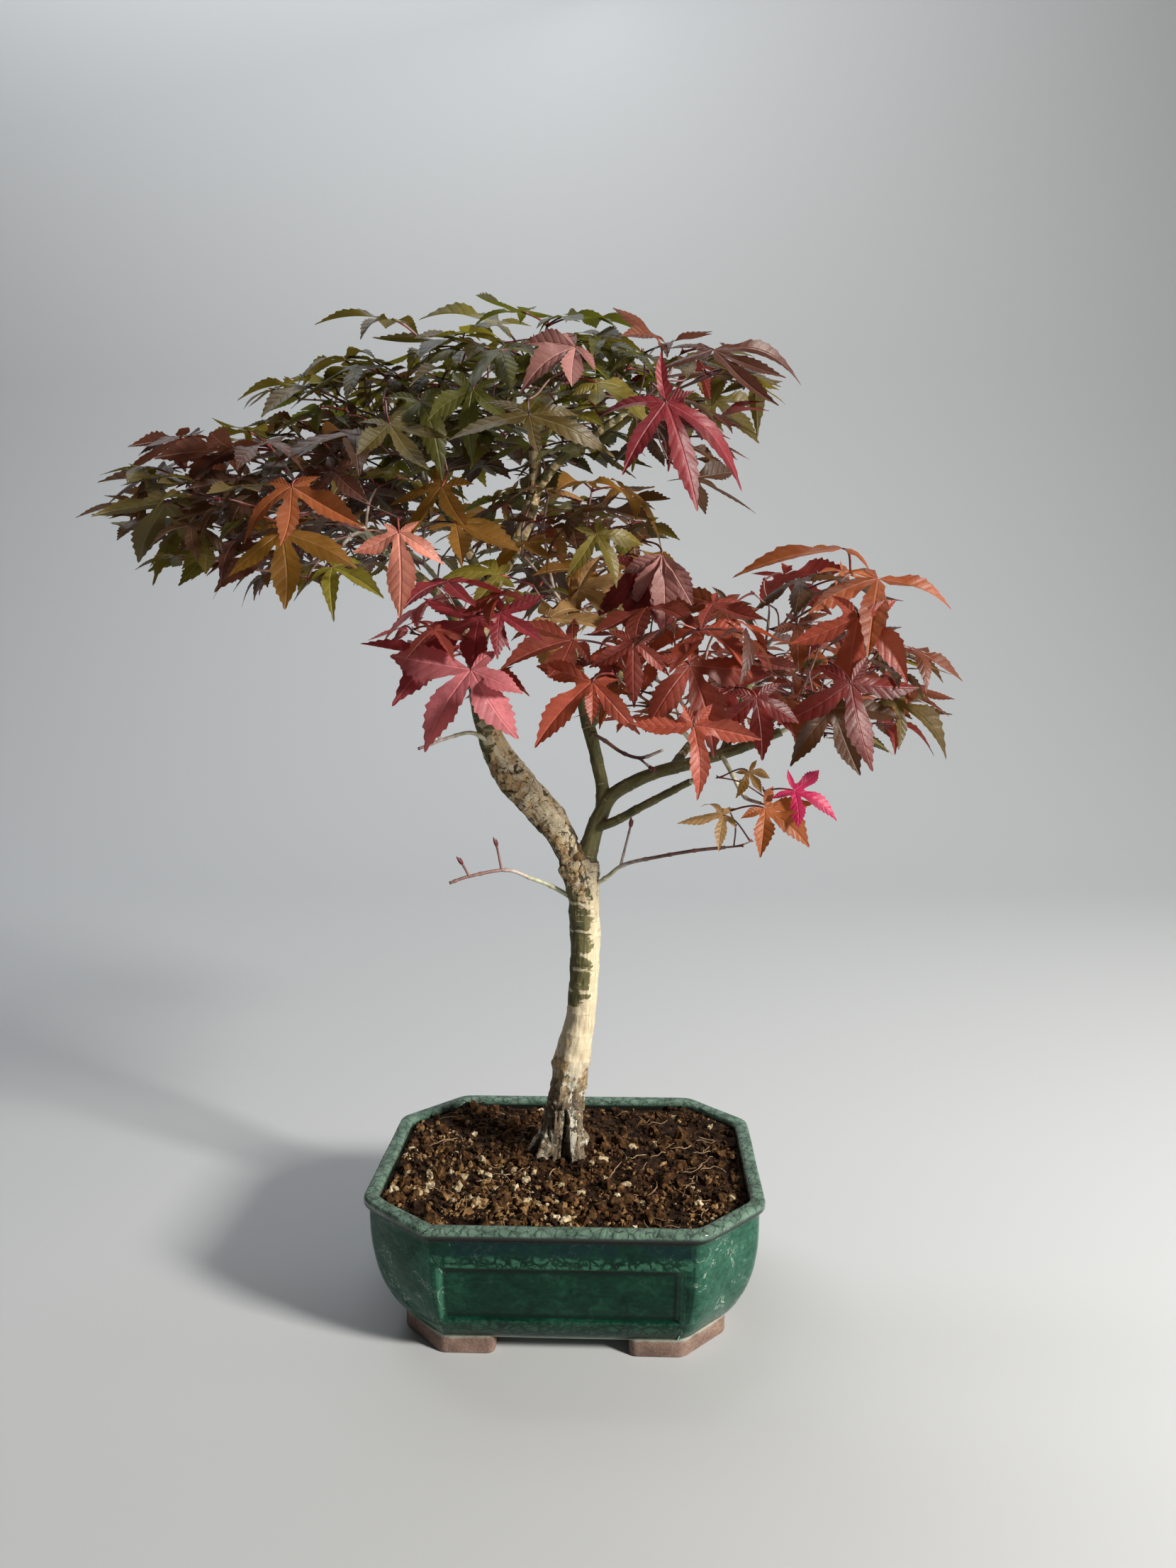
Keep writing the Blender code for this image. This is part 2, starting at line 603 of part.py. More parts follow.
class Space:
    """What already stands in the crown, so a new piece can be tried against it."""

    def __init__(self):
        self.rows = []

    def add(self, owner, verts, faces):
        middle = sum((Vector(v) for v in verts), Vector()) / len(verts)
        reach = max((Vector(v) - middle).length for v in verts)
        tree = BVHTree.FromPolygons(verts, faces)
        self.rows.append((owner, middle, reach, tree))

    def touches(self, verts, faces, skip=()):
        middle = sum((Vector(v) for v in verts), Vector()) / len(verts)
        reach = max((Vector(v) - middle).length for v in verts)
        tree = BVHTree.FromPolygons(verts, faces)
        for owner, other, far, known in self.rows:
            if owner in skip or (other - middle).length > reach + far:
                continue
            if tree.overlap(known):
                return True
        return False


def bend(start, heading, goal, count):
    """Points from a start to a goal, leaving along the heading."""
    span = (goal - start).length
    pull = heading * span * 0.45
    line = []
    for k in range(1, count + 1):
        t = k / count
        along = 0.6 * t + 0.4 * t * t * (3.0 - 2.0 * t)
        line.append(start + pull * (2.0 * t * (1.0 - t) ** 2) + (goal - start) * along)
    return line


class Twigs:
    """A branching net that grows from one stem to reach each goal in turn."""

    def __init__(self, root, heading, rng):
        self.points = [root]
        self.parents = [-1]
        self.paths = [0.0]
        self.heads = [heading]
        self.loads = [0]
        self.branches = []
        self.rng = rng
        self.extend(0, [root + heading * 4.0, root + heading * 8.0])

    def extend(self, start, line):
        row = [start]
        for point in line:
            back = row[-1]
            step = point - self.points[back]
            self.points.append(point)
            self.parents.append(back)
            self.paths.append(self.paths[back] + step.length)
            self.heads.append(step.normalized())
            self.loads.append(0)
            row.append(len(self.points) - 1)
        self.branches.append(row)
        return row

    def reach(self, goal, attempt):
        """A line of points from the best standing point to the goal."""
        best = None
        for i, point in enumerate(self.points):
            gap = goal - point
            far = gap.length
            if far < 0.5 or (i == 0):
                continue
            turn = self.heads[i].dot(gap) / far
            cost = far * (1.55 - 0.55 * turn) + 0.35 * self.paths[i]
            cost *= 1.0 + self.rng.uniform(0.0, 0.06) * attempt
            if best is None or cost < best[0]:
                best = (cost, i)
        start = best[1]
        count = max(2, round((goal - self.points[start]).length / 11.0))
        line = bend(self.points[start], self.heads[start], goal, count)
        for k in range(len(line) - 1):
            loose = 0.7 + attempt * 1.2
            line[k] = line[k] + Vector([self.rng.uniform(-loose, loose) for _ in range(3)])
        return start, line

    def drop_last(self):
        keep = len(self.points) - len(self.branches.pop()) + 1
        for row in (self.points, self.parents, self.paths, self.heads, self.loads):
            del row[keep:]

    def carry(self, node, amount=1):
        while node >= 0:
            self.loads[node] += amount
            node = self.parents[node]

    def radius(self, node, finest):
        return finest * max(1.0, self.loads[node]) ** 0.36


def tidy_row(row, points, forks, slack):
    """A branch's nodes without those that shape nothing and carry nothing."""
    keep = [row[0]]
    for node, after in zip(row[1:-1], row[2:]):
        last = points[keep[-1]]
        chord = points[after] - last
        away = points[node] - last
        off = (away - chord * (away.dot(chord) / max(chord.length_squared, 1e-9))).length
        if node in forks or off > slack or away.length > 30.0:
            keep.append(node)
    keep.append(row[-1])
    return keep


def front_axis(turn, tip):
    """A blade's direction from its turn in the front view and its tip to the front."""
    turn = math.radians(turn)
    tip = math.radians(tip)
    return Vector((math.cos(turn) * math.cos(tip), -math.sin(tip), math.sin(turn) * math.cos(tip)))


def inside(verts, middle, halves):
    """Whether every point stands within a mass's own egg-shaped space."""
    for v in verts:
        away = v - middle
        if sum((a / b) ** 2 for a, b in zip(away, halves)) > 1.0:
            return False
    return True


class Mass:
    """One mass: its own space, one stem, the twigs from it and the leaves they carry."""

    def __init__(self, name, tip, ahead, middle, halves, space, seed):
        self.name = name
        self.root = tip + ahead * (GAP + 0.1)
        self.middle = middle
        self.halves = halves
        self.space = space
        self.rng = random.Random(seed)
        self.twigs = Twigs(self.root, ahead, self.rng)
        self.leaves = []
        self.spots = []

    def twig_to(self, goal):
        """The node at a new twig's end, or nothing where every way is blocked."""
        for attempt in range(6):
            start, line = self.twigs.reach(goal, attempt)
            shape = tube([self.twigs.points[start], *line], [0.9] * (len(line) + 1), 3)
            if not self.space.touches(*shape, skip=(self.name,)):
                self.space.add(self.name, *shape)
                self.spots.append(goal)
                return self.twigs.extend(start, line)[-1]
        return None

    def drop_last_twig(self):
        self.twigs.drop_last()
        self.space.rows.pop()
        self.spots.pop()

    def leaf(self, node, centre, axis, face, length, bounded):
        """A leaf on its stalk, if it keeps to the space and touches nothing."""
        axis = axis.normalized()
        frame = leaf_frame(centre, axis, face)
        droop = self.rng.uniform(0.05, 0.20)
        spread = self.rng.uniform(0.88, 1.12)
        blade = leaf_shape(frame, length, droop, spread, extra=0.35)
        if bounded and not inside(blade[0], self.middle, self.halves):
            return False
        if self.space.touches(*blade):
            return False
        foot = self.twigs.points[node]
        away = (foot - centre).normalized()
        if away.dot(axis) > -0.3:
            return False
        wide = tube([foot.lerp(centre, 0.2), centre - axis], [0.85, 0.8], 3)
        if self.space.touches(*wide, skip=(self.name,)):
            return False
        self.space.add("leaf", *blade)
        self.space.add(self.name, *wide)
        self.twigs.carry(node)
        self.leaves.append((frame, length, droop, spread, foot - self.twigs.heads[node] * 0.7))
        return True

    def place(self, x, y, z, turn, tip, up, length):
        """One of the listed leaves, tried with a foot behind it in several places."""
        rng = self.rng
        axis = front_axis(turn, tip)
        face = Vector((0.0, up - 1.0, up + 0.1))
        for attempt in range(24):
            centre = Vector((x, y, z)) + jitter(rng, 0.35 * attempt)
            back = (self.root - centre).normalized()
            away = back * 0.75 - axis * 0.55 + Vector((0, 0.1, 0.12)) + jitter(rng, 0.04 * attempt)
            foot = centre + away.normalized() * rng.uniform(13.0, 22.0)
            node = self.twig_to(foot)
            if node and self.leaf(node, centre, axis, face, length, False):
                return True
            if node:
                self.drop_last_twig()
        return False

    def spray(self):
        """A twig to the emptiest of some random spots, then up to three leaves on it."""
        rng = self.rng
        best = None
        for _ in range(24):
            spot = jitter(rng, 1.0)
            if not 0.2 < spot.length < 1.0:
                continue
            spot = self.middle + Vector([a * b * 0.72 for a, b in zip(spot, self.halves)])
            room = (spot - self.root).length + 12.0
            for other in self.spots:
                room = min(room, (spot - other).length)
            if best is None or room > best[0]:
                best = (room, spot)
        spot = best[1]
        node = self.twig_to(spot)
        if not node:
            return 0
        away = spot - self.root.lerp(self.middle, 0.35)
        course = math.atan2(away.y, away.x)
        high = max(-1.0, min(1.0, (spot.z - self.middle.z) / self.halves[2]))
        count = 0
        for side in (-1.0, 1.0, 0.0):
            for _ in range(TRIES):
                turn = course + side * rng.uniform(0.65, 1.5) + rng.uniform(-0.3, 0.3)
                dip = math.radians(rng.uniform(-4.0, 40.0) - 14.0 * high)
                flat = math.cos(dip)
                axis = Vector((math.cos(turn) * flat, math.sin(turn) * flat, -math.sin(dip)))
                face = Vector((rng.uniform(-0.4, 0.4), rng.uniform(-0.6, 0.3), 1.0))
                lift = Vector((0, 0, rng.uniform(-0.1, 0.35) + math.sin(dip)))
                centre = spot + (axis + lift).normalized() * rng.uniform(11.0, 20.0)
                length = LEAF_LONG + rng.uniform(-LEAF_SPREAD, LEAF_SPREAD)
                if self.leaf(node, centre, axis, face, length, True):
                    count += 1
                    break
        if not count:
            self.drop_last_twig()
        return count

    def fill(self, quota):
        for _ in range(quota * 4):
            if len(self.leaves) >= quota:
                break
            self.spray()

    def pieces(self):
        made = []
        twigs = self.twigs
        forks = {row[0] for row in twigs.branches}
        for row in twigs.branches:
            row = tidy_row(row, twigs.points, forks, 1.5)
            line = [twigs.points[i] for i in row]
            radii = [twigs.radius(i, TWIG_RADIUS) for i in row]
            radii[0] = radii[1]
            radii[-1] += 0.12
            made.append(tube(line, radii, 3))
        for row in self.leaves:
            made.append(leaf_shape(*row))
        return made


def jitter(rng, wide):
    return Vector([rng.uniform(-wide, wide) for _ in range(3)])


def fuse(name, pieces):
    """One closed body from many overlapping ones, joined in a single Boolean."""
    for solver in ("MANIFOLD", "EXACT"):
        group = bpy.data.collections.new(name + "_parts")
        bpy.context.scene.collection.children.link(group)
        body = place(name, *pieces[0])
        face_outwards(body)
        for verts, faces in pieces[1:]:
            mesh = bpy.data.meshes.new(name + "_part")
            mesh.from_pydata([Vector(v) * MM for v in verts], [], faces)
            part = bpy.data.objects.new(name + "_part", mesh)
            group.objects.link(part)
            face_outwards(part)
        change = body.modifiers.new("union", "BOOLEAN")
        change.operation = "UNION"
        change.operand_type = "COLLECTION"
        change.collection = group
        change.solver = solver
        apply_modifiers(body)
        for part in list(group.objects):
            remove(part)
        bpy.data.collections.remove(group)
        keep_main_piece(body)
        if is_closed(body):
            return body
        remove(body)
    return None


def is_closed(thing):
    """Whether every edge of the mesh has a face on each of its two sides."""
    shape = bmesh.new()
    shape.from_mesh(thing.data)
    whole = all(len(edge.link_faces) == 2 for edge in shape.edges)
    shape.free()
    return whole


def swept(line, sides, wider=0.0):
    """A sweep along a line whose points carry their radius as a fourth number."""
    return tube([p.xyz for p in line], [p.w + wider for p in line], sides)


def cutter_from(shape):
    cutter = place("cutter", *shape)
    face_outwards(cutter)
    return cutter


def add_spurs(limb):
    for owner, foot, tip in SPURS:
        if owner == limb.name:
            spur = place("spur", *tube(spur_line(foot, tip), SPUR_RADII, 4))
            face_outwards(spur)
            boolean(limb, spur, "UNION")
            remove(spur)
            keep_main_piece(limb)


def grow_limbs(space):
    """Every limb, its foot seated on the limbs before it, with each one's tip."""
    points = [Vector((*p, r)) for p, r in zip(TRUNK, TRUNK_RADII)]
    shape = swept(curve_through(points, 2), TRUNK_SIDES, GAP)
    cutters = [cutter_from(shape)]
    space.add("limbs", *shape)
    limbs = []
    tips = {}
    for name, sides, start, radius, rest in LIMBS:
        line = limb_line(start, radius, rest)
        limb = place(name, *swept(line, sides))
        face_outwards(limb)
        seat(limb, cutters)
        add_spurs(limb)
        limbs.append(limb)
        ahead = (line[-1].xyz - line[-2].xyz).normalized()
        tips[name] = (line[-1].xyz, ahead)
        shape = swept(line, sides, GAP)
        cutters.append(cutter_from(shape))
        space.add("limbs", *shape)
    for cutter in cutters:
        remove(cutter)
    return limbs, tips


def grow_foliage(space, tips):
    """The masses: their placed leaves first, then sprays until each has its number."""
    masses = {}
    for index, (name, limb, middle, halves, _) in enumerate(MASSES):
        tip, ahead = tips[limb]
        seed = SEED * 100 + index
        masses[name] = Mass(name, tip, ahead, Vector(middle), Vector(halves), space, seed)
    for row in PLACED:
        masses[row[0]].place(*row[1:])
    for row in MASSES:
        masses[row[0]].fill(row[-1])
    return [fuse(name, mass.pieces()) for name, mass in masses.items()]


def stand_on_table(nodes):
    """Moves every node so that the middle of the whole box's underside is the origin."""
    corners = [v.co for node in nodes for v in node.data.vertices]
    low = Vector([min(p[i] for p in corners) for i in range(3)])
    high = Vector([max(p[i] for p in corners) for i in range(3)])
    shift = Matrix.Translation(Vector((-(low.x + high.x) / 2, -(low.y + high.y) / 2, -low.z)))
    for node in nodes:
        node.data.transform(shift)


def finish(node):
    key = node.name if node.name in COLOURS else "limb"
    rough = ROUGHNESS.get(key, LEAF_ROUGHNESS)
    node.data.materials.clear()
    node.data.materials.append(material(node.name + "_finish", COLOURS[key], rough))
    if key in ("limb", "trunk"):
        shade_smooth(node, 40.0)


def main():
    clear_scene()
    space = Space()
    nodes = [make_pot(), make_soil(), make_trunk()]
    limbs, tips = grow_limbs(space)
    nodes += limbs
    nodes += grow_foliage(space, tips)
    stand_on_table(nodes)
    for node in nodes:
        finish(node)


main()
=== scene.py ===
# %% [markdown]
# # A maple bonsai in its glazed pot
# This lesson dresses a small Japanese maple, about 42 cm of tree in a low eight-sided
# pot. It starts from a fixed frame of plain solids and replaces them with bark, leaves,
# granules of soil and a crackled green glaze. Every length in the cells is in
# millimetres from the middle of the pot's foot, and becomes metres only when a mesh is
# made, because round numbers are easier to check against a ruler.

# %% The frame and the units
import json
import math
import random

import bmesh
import bpy
import numpy as np
from mathutils import Matrix, Vector, noise
from mathutils.bvhtree import BVHTree
from mathutils.kdtree import KDTree

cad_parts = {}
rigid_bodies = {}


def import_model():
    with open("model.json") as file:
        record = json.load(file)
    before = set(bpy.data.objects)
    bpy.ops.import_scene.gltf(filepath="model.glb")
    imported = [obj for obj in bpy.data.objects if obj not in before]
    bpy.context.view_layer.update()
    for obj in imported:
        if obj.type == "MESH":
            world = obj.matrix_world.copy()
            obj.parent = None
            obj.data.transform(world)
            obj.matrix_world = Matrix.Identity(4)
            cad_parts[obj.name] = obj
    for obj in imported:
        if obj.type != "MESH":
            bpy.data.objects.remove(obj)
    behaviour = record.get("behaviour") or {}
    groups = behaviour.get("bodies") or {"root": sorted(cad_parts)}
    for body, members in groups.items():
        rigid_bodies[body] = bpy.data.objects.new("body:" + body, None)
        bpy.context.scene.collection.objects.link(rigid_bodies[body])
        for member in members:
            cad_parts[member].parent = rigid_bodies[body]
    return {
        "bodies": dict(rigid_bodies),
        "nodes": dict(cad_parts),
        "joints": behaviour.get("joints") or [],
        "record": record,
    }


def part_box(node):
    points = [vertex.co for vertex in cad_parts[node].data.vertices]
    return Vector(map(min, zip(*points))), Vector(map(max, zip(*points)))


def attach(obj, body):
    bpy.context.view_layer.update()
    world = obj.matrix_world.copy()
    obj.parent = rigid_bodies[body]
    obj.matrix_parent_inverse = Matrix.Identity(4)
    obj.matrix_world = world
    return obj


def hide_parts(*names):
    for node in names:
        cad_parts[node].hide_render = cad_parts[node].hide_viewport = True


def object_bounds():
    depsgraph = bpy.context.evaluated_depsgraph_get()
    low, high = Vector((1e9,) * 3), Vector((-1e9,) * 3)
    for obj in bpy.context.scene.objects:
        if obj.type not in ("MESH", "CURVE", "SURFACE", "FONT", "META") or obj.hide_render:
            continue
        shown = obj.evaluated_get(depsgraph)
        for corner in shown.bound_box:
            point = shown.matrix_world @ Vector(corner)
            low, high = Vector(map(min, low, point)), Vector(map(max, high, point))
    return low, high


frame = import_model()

CAD_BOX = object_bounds()
MM = 0.001
POT_LOW, POT_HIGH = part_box("pot")
MIDDLE = Vector(((POT_LOW.x + POT_HIGH.x) / 2, (POT_LOW.y + POT_HIGH.y) / 2, POT_LOW.z))
TO_METRES = Matrix.Translation(MIDDLE) @ Matrix.Scale(MM, 4)
print("pot", [round(v / MM, 1) for v in POT_HIGH - POT_LOW], "mm")

# %% [markdown]
# ## The camera, the floor and the light
# The camera stands half a metre from the trunk and a little above its fork, tipped down
# seven degrees.

# %% Camera
EYE = Vector((34.4, -526.3, 322))
YAW, PITCH, ROLL = math.radians(2.52), math.radians(6.93), math.radians(0.38)
IMAGE_HEIGHT, FOCAL_PIXELS = 2212, 1535


def bring(thing):
    """Puts an object into the scene and hands it back."""
    bpy.context.scene.collection.objects.link(thing)
    return thing


def camera_axes():
    """The camera's right, up and back, turned by its yaw, then its pitch, then its roll."""
    level = Vector((-math.sin(YAW), math.cos(YAW), 0))
    right = Vector((math.cos(YAW), math.sin(YAW), 0))
    up = Vector((0, 0, 1))
    ahead = level * math.cos(PITCH) - up * math.sin(PITCH)
    over = level * math.sin(PITCH) + up * math.cos(PITCH)
    side = right * math.cos(ROLL) - over * math.sin(ROLL)
    over = right * math.sin(ROLL) + over * math.cos(ROLL)
    return side, over, -ahead


lens = bpy.data.cameras.new("eye")
lens.sensor_width = 36
lens.lens = FOCAL_PIXELS / IMAGE_HEIGHT * lens.sensor_width
lens.clip_start = 0.02
lens.clip_end = 60
camera = bring(bpy.data.objects.new("eye", lens))
turn = Matrix(camera_axes()).transposed().to_4x4()
camera.matrix_world = Matrix.Translation(TO_METRES @ EYE) @ turn
bpy.context.scene.camera = camera
print("lens", round(lens.lens, 2), "mm")

# %% [markdown]
# The floor is one pale sheet whose far edge curves up into a wall: a line of edges
# extruded sideways does that, and hides the horizon behind the leaves.

# %% The floor
# metres: where the sheet starts, how far it lies flat, the bend's radius, the top and side
FLOOR_NEAR, FLOOR_FLAT, BEND, WALL_TOP, FLOOR_SIDE = -4, 0.9, 0.9, 4.5, 4
BEND_STEPS = 12
FLOOR_PROFILE = [(FLOOR_NEAR, 0), (FLOOR_FLAT, 0)]
for step in range(1, BEND_STEPS + 1):
    angle = math.radians(90 * step / BEND_STEPS)
    FLOOR_PROFILE.append((FLOOR_FLAT + BEND * math.sin(angle), BEND - BEND * math.cos(angle)))
FLOOR_PROFILE.append((FLOOR_FLAT + BEND, WALL_TOP))


def plain_finish(name, colour, roughness):
    made = bpy.data.materials.new(name)
    made.use_nodes = True
    shader = made.node_tree.nodes["Principled BSDF"]
    shader.inputs["Base Color"].default_value = (*colour, 1)
    shader.inputs["Roughness"].default_value = roughness
    return made


def points_of(geometry):
    return [g for g in geometry if isinstance(g, bmesh.types.BMVert)]


def lay_floor():
    shape = bmesh.new()
    line = [shape.verts.new((-FLOOR_SIDE, y, z)) for y, z in FLOOR_PROFILE]
    edges = [shape.edges.new(pair) for pair in zip(line, line[1:])]
    grown = bmesh.ops.extrude_edge_only(shape, edges=edges)["geom"]
    bmesh.ops.translate(shape, vec=(2 * FLOOR_SIDE, 0, 0), verts=points_of(grown))
    bmesh.ops.recalc_face_normals(shape, faces=shape.faces)
    mesh = bpy.data.meshes.new("floor")
    shape.to_mesh(mesh)
    shape.free()
    mesh.shade_smooth()
    mesh.materials.append(plain_finish("pale_floor", (0.47, 0.48, 0.49), 0.85))
    bring(bpy.data.objects.new("floor", mesh))


lay_floor()
print("floor profile", len(FLOOR_PROFILE), "points")

# %% [markdown]
# Three lamps stand for a room: a small warm window low on the right, which draws the
# shadow and the gloss, a wide cool sky behind and above, and a wash on the wall. A world
# with an image of a real room would be quicker, but it would need that image.

# %% The light
WARM, COOL = (1, 0.965, 0.90), (0.95, 0.98, 1)
ROOM_COLOUR, ROOM_STRENGTH = (0.72, 0.74, 0.76, 1), 0.085


def hang_light(name, place, aim, size, power, colour):
    """A lamp at a place in metres, turned to what it aims at."""
    lamp = bpy.data.lights.new(name, "AREA")
    lamp.shape = "RECTANGLE"
    lamp.size, lamp.size_y = size
    lamp.energy = power
    lamp.color = colour
    turn = (Vector(place) - Vector(aim)).to_track_quat("Z", "Y").to_matrix().to_4x4()
    light = bring(bpy.data.objects.new(name, lamp))
    light.matrix_world = Matrix.Translation(Vector(place)) @ turn
    print(name, power, "W")


hang_light("window", (1.22, -0.72, 0.80), (0, 0, 0.27), (0.22, 0.30), 45, WARM)
hang_light("sky", (-0.3, 0.7, 1.9), (0, 0.2, 0.2), (1.6, 1.6), 7, COOL)
hang_light("wall", (-0.6, 1, 2.5), (-0.5, 1.8, 1.15), (2.4, 0.6), 31, COOL)
world = bpy.data.worlds.new("room")
world.use_nodes = True
backdrop = world.node_tree.nodes["Background"]
backdrop.inputs["Color"].default_value = ROOM_COLOUR
backdrop.inputs["Strength"].default_value = ROOM_STRENGTH
bpy.context.scene.world = world
bpy.context.scene.view_settings.view_transform = "Standard"

# %% [markdown]
# ## Finishes written as sums
# Bark, glaze and leaves all mix colours by masks. Wiring those nodes one by one is slow
# to read, so a small class wraps a socket and lets masks be added and multiplied like
# numbers. One method makes any node from its type, its settings and its inputs.

# %% A socket that adds and scales
class Tone:
    """A number on its way through a material."""

    def __init__(self, finish, socket):
        self.finish = finish
        self.socket = socket

    def sum(self, operation, first, second):
        return self.finish.node("ShaderNodeMath", {"operation": operation}, {0: first, 1: second})

    def __add__(self, other):
        return self.sum("ADD", self, other)

    __radd__ = __add__

    def __mul__(self, other):
        return self.sum("MULTIPLY", self, other)

    __rmul__ = __mul__

    def __sub__(self, other):
        return self.sum("SUBTRACT", self, other)

    def __rsub__(self, other):
        return self.sum("SUBTRACT", other, self)

    def __abs__(self):
        return self.finish.node("ShaderNodeMath", {"operation": "ABSOLUTE"}, {0: self})

# %% [markdown]
# A finish starts from a place in millimetres and has a few ways to make a mask: noise,
# cells, a number carried by the mesh, a height. Coats of colour are then laid over each
# other by those masks, and the relief goes on last.

# %% A finish for one material
class Finish:
    """A material whose masks are worked out in millimetres from the pot's middle."""

    def __init__(self, name):
        self.material = bpy.data.materials.new(name)
        self.material.use_nodes = True
        self.tree = self.material.node_tree
        self.shader = self.tree.nodes["Principled BSDF"]
        spot = self.node("ShaderNodeTexCoord", out="Object")
        self.here = self.node("ShaderNodeMapping", {}, {
            "Vector": spot, "Location": -MIDDLE / MM, "Scale": (1 / MM, 1 / MM, 1 / MM)})

    def node(self, kind, settings=None, inputs=None, out=0):
        made = self.tree.nodes.new(kind)
        for key, value in (settings or {}).items():
            if key == "stops":
                self.set_stops(made.color_ramp, value)
            else:
                setattr(made, key, value)
        for key, value in (inputs or {}).items():
            self.feed(made.inputs[key], value)
        return Tone(self, made.outputs[out])

    def set_stops(self, ramp, stops):
        """Fills a colour ramp from pairs of place and colour."""
        while len(ramp.elements) < len(stops):
            ramp.elements.new(0.5)
        for element, (place, colour) in zip(ramp.elements, stops):
            element.position = place
            element.color = (*colour, 1)

    def feed(self, socket, value):
        """Links a mask or colour to a socket, or writes a plain value on it."""
        if isinstance(value, Tone):
            self.tree.links.new(value.socket, socket)
        elif isinstance(value, (tuple, Vector)) and len(socket.default_value) > len(value):
            socket.default_value = (*value, 1)
        else:
            socket.default_value = value

    def stretched(self, where, scale):
        return self.node("ShaderNodeMapping", {}, {"Vector": where, "Scale": scale})

    def noise(self, where, size, detail=3, rough=0.5, warp=0):
        return self.node("ShaderNodeTexNoise", {}, {
            "Vector": where, "Scale": 1 / size, "Detail": detail, "Roughness": rough,
            "Distortion": warp})

    def grain(self, size, detail=3, rough=0.5, stretch=(1, 1, 1), warp=0):
        """Soft noise with clumps of about this size."""
        return self.noise(self.stretched(self.here, stretch), size, detail, rough, warp)

    def cells(self, size, feature="F1"):
        """Distance inside cells of about this size, or to their edges."""
        bent = self.node("ShaderNodeTexNoise", {}, {
            "Vector": self.here, "Scale": 1 / size}, out=1)
        moved = self.node("ShaderNodeMix", {"data_type": "VECTOR"}, {
            "Factor": 0.12, 4: self.here, 5: self.scaled(bent, size * 6)}, out=1)
        return self.node("ShaderNodeTexVoronoi", {"feature": feature}, {
            "Vector": moved, "Scale": 1 / size})

    def scaled(self, vector, amount):
        return self.node("ShaderNodeVectorMath", {"operation": "SCALE"}, {
            0: vector, "Scale": amount})

    def axis(self, index):
        return self.node("ShaderNodeSeparateXYZ", {}, {0: self.here}, out=index)

    def carried(self, name):
        """A number stored on the mesh, point by point."""
        return self.node("ShaderNodeAttribute", {"attribute_name": name}, out="Fac")

    def rise(self, value, low, high):
        """0 below low, 1 above high and a soft step between them."""
        return self.node("ShaderNodeMapRange", {"interpolation_type": "SMOOTHSTEP"}, {
            "Value": value, "From Min": low, "From Max": high})

    def fall(self, value, low, high):
        """1 below low and 0 above high."""
        return 1 - self.rise(value, low, high)

    def band(self, value, low, full, ebb, high):
        """1 from full to ebb, and 0 below low and above high."""
        return self.rise(value, low, full) * self.fall(value, ebb, high)

    def mix(self, share, first, second):
        return self.node("ShaderNodeMix", {"data_type": "RGBA"}, {
            0: share, 6: first, 7: second}, out=2)

    def coats(self, colour, layers):
        """A colour with others laid over it in turn, each by its own mask."""
        for share, over in layers:
            colour = self.mix(share, colour, over)
        return colour

    def ramp(self, value, stops):
        return self.node("ShaderNodeValToRGB", {"stops": stops}, {0: value})

    def show(self, colour, roughness, height, depth, gloss=0.5):
        """The finished colour, roughness, relief and gloss; depth is in millimetres."""
        bump = self.node("ShaderNodeBump", {}, {
            "Height": height, "Distance": depth * MM, "Strength": 1})
        for name, value in (("Base Color", colour), ("Roughness", roughness), ("Normal", bump)):
            self.feed(self.shader.inputs[name], value)
        self.shader.inputs["Specular IOR Level"].default_value = gloss
        return self.material


# %% [markdown]
# Every piece is one object whose mesh holds its place, so the object itself stays at the
# origin. Each piece rides on the plant's one body and, where it stands for plain solids
# of the frame, hides them. Numbers that a finish reads are stored point by point beside
# the mesh's own.

# %% Pieces that ride on the plant
def add_piece(name, mesh, finish, slot, nodes=()):
    mesh.materials.clear()
    mesh.materials.append(finish)
    piece = bring(bpy.data.objects.new(name, mesh))
    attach(piece, "root")
    if nodes:
        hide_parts(*nodes)
    print(name, len(mesh.polygons), "faces")


def mesh_from_shape(name, shape, smooth=180):
    """A bmesh in millimetres as a mesh in its place on the plant."""
    bmesh.ops.transform(shape, matrix=TO_METRES, verts=shape.verts)
    bmesh.ops.recalc_face_normals(shape, faces=shape.faces)
    mesh = bpy.data.meshes.new(name)
    shape.to_mesh(mesh)
    shape.free()
    mesh.shade_smooth()
    if smooth < 180:
        mesh.set_sharp_from_angle(angle=math.radians(smooth))
    return mesh


def joined(name, parts):
    """Many small things as one mesh, from the points in millimetres and faces of each."""
    faces, base = [], 0
    for points, sides in parts:
        faces += [tuple(base + i for i in face) for face in sides]
        base += len(points)
    placed = np.concatenate([points for points, _ in parts]) * MM + np.array(MIDDLE)
    mesh = bpy.data.meshes.new(name)
    mesh.from_pydata(placed.tolist(), [], faces)
    mesh.shade_smooth()
    return mesh


def store(mesh, name, values):
    """One number for each point of a mesh, for a finish to read."""
    layer = mesh.attributes.new(name, "FLOAT", "POINT")
    layer.data.foreach_set("value", np.asarray(values, np.float32))


# %% [markdown]
# ## The pot
# The real pot is pressed clay: a straight rim with a narrow lip, walls that bulge down
# to a small base, a sunk panel on each face and four corner feet. It could be cut from a
# block with booleans. Here a ring of edges in the pot's plan is extruded down, round and
# up again, because every ring then lines up with the panel's border and the gloss runs
# smoothly over soft corners.

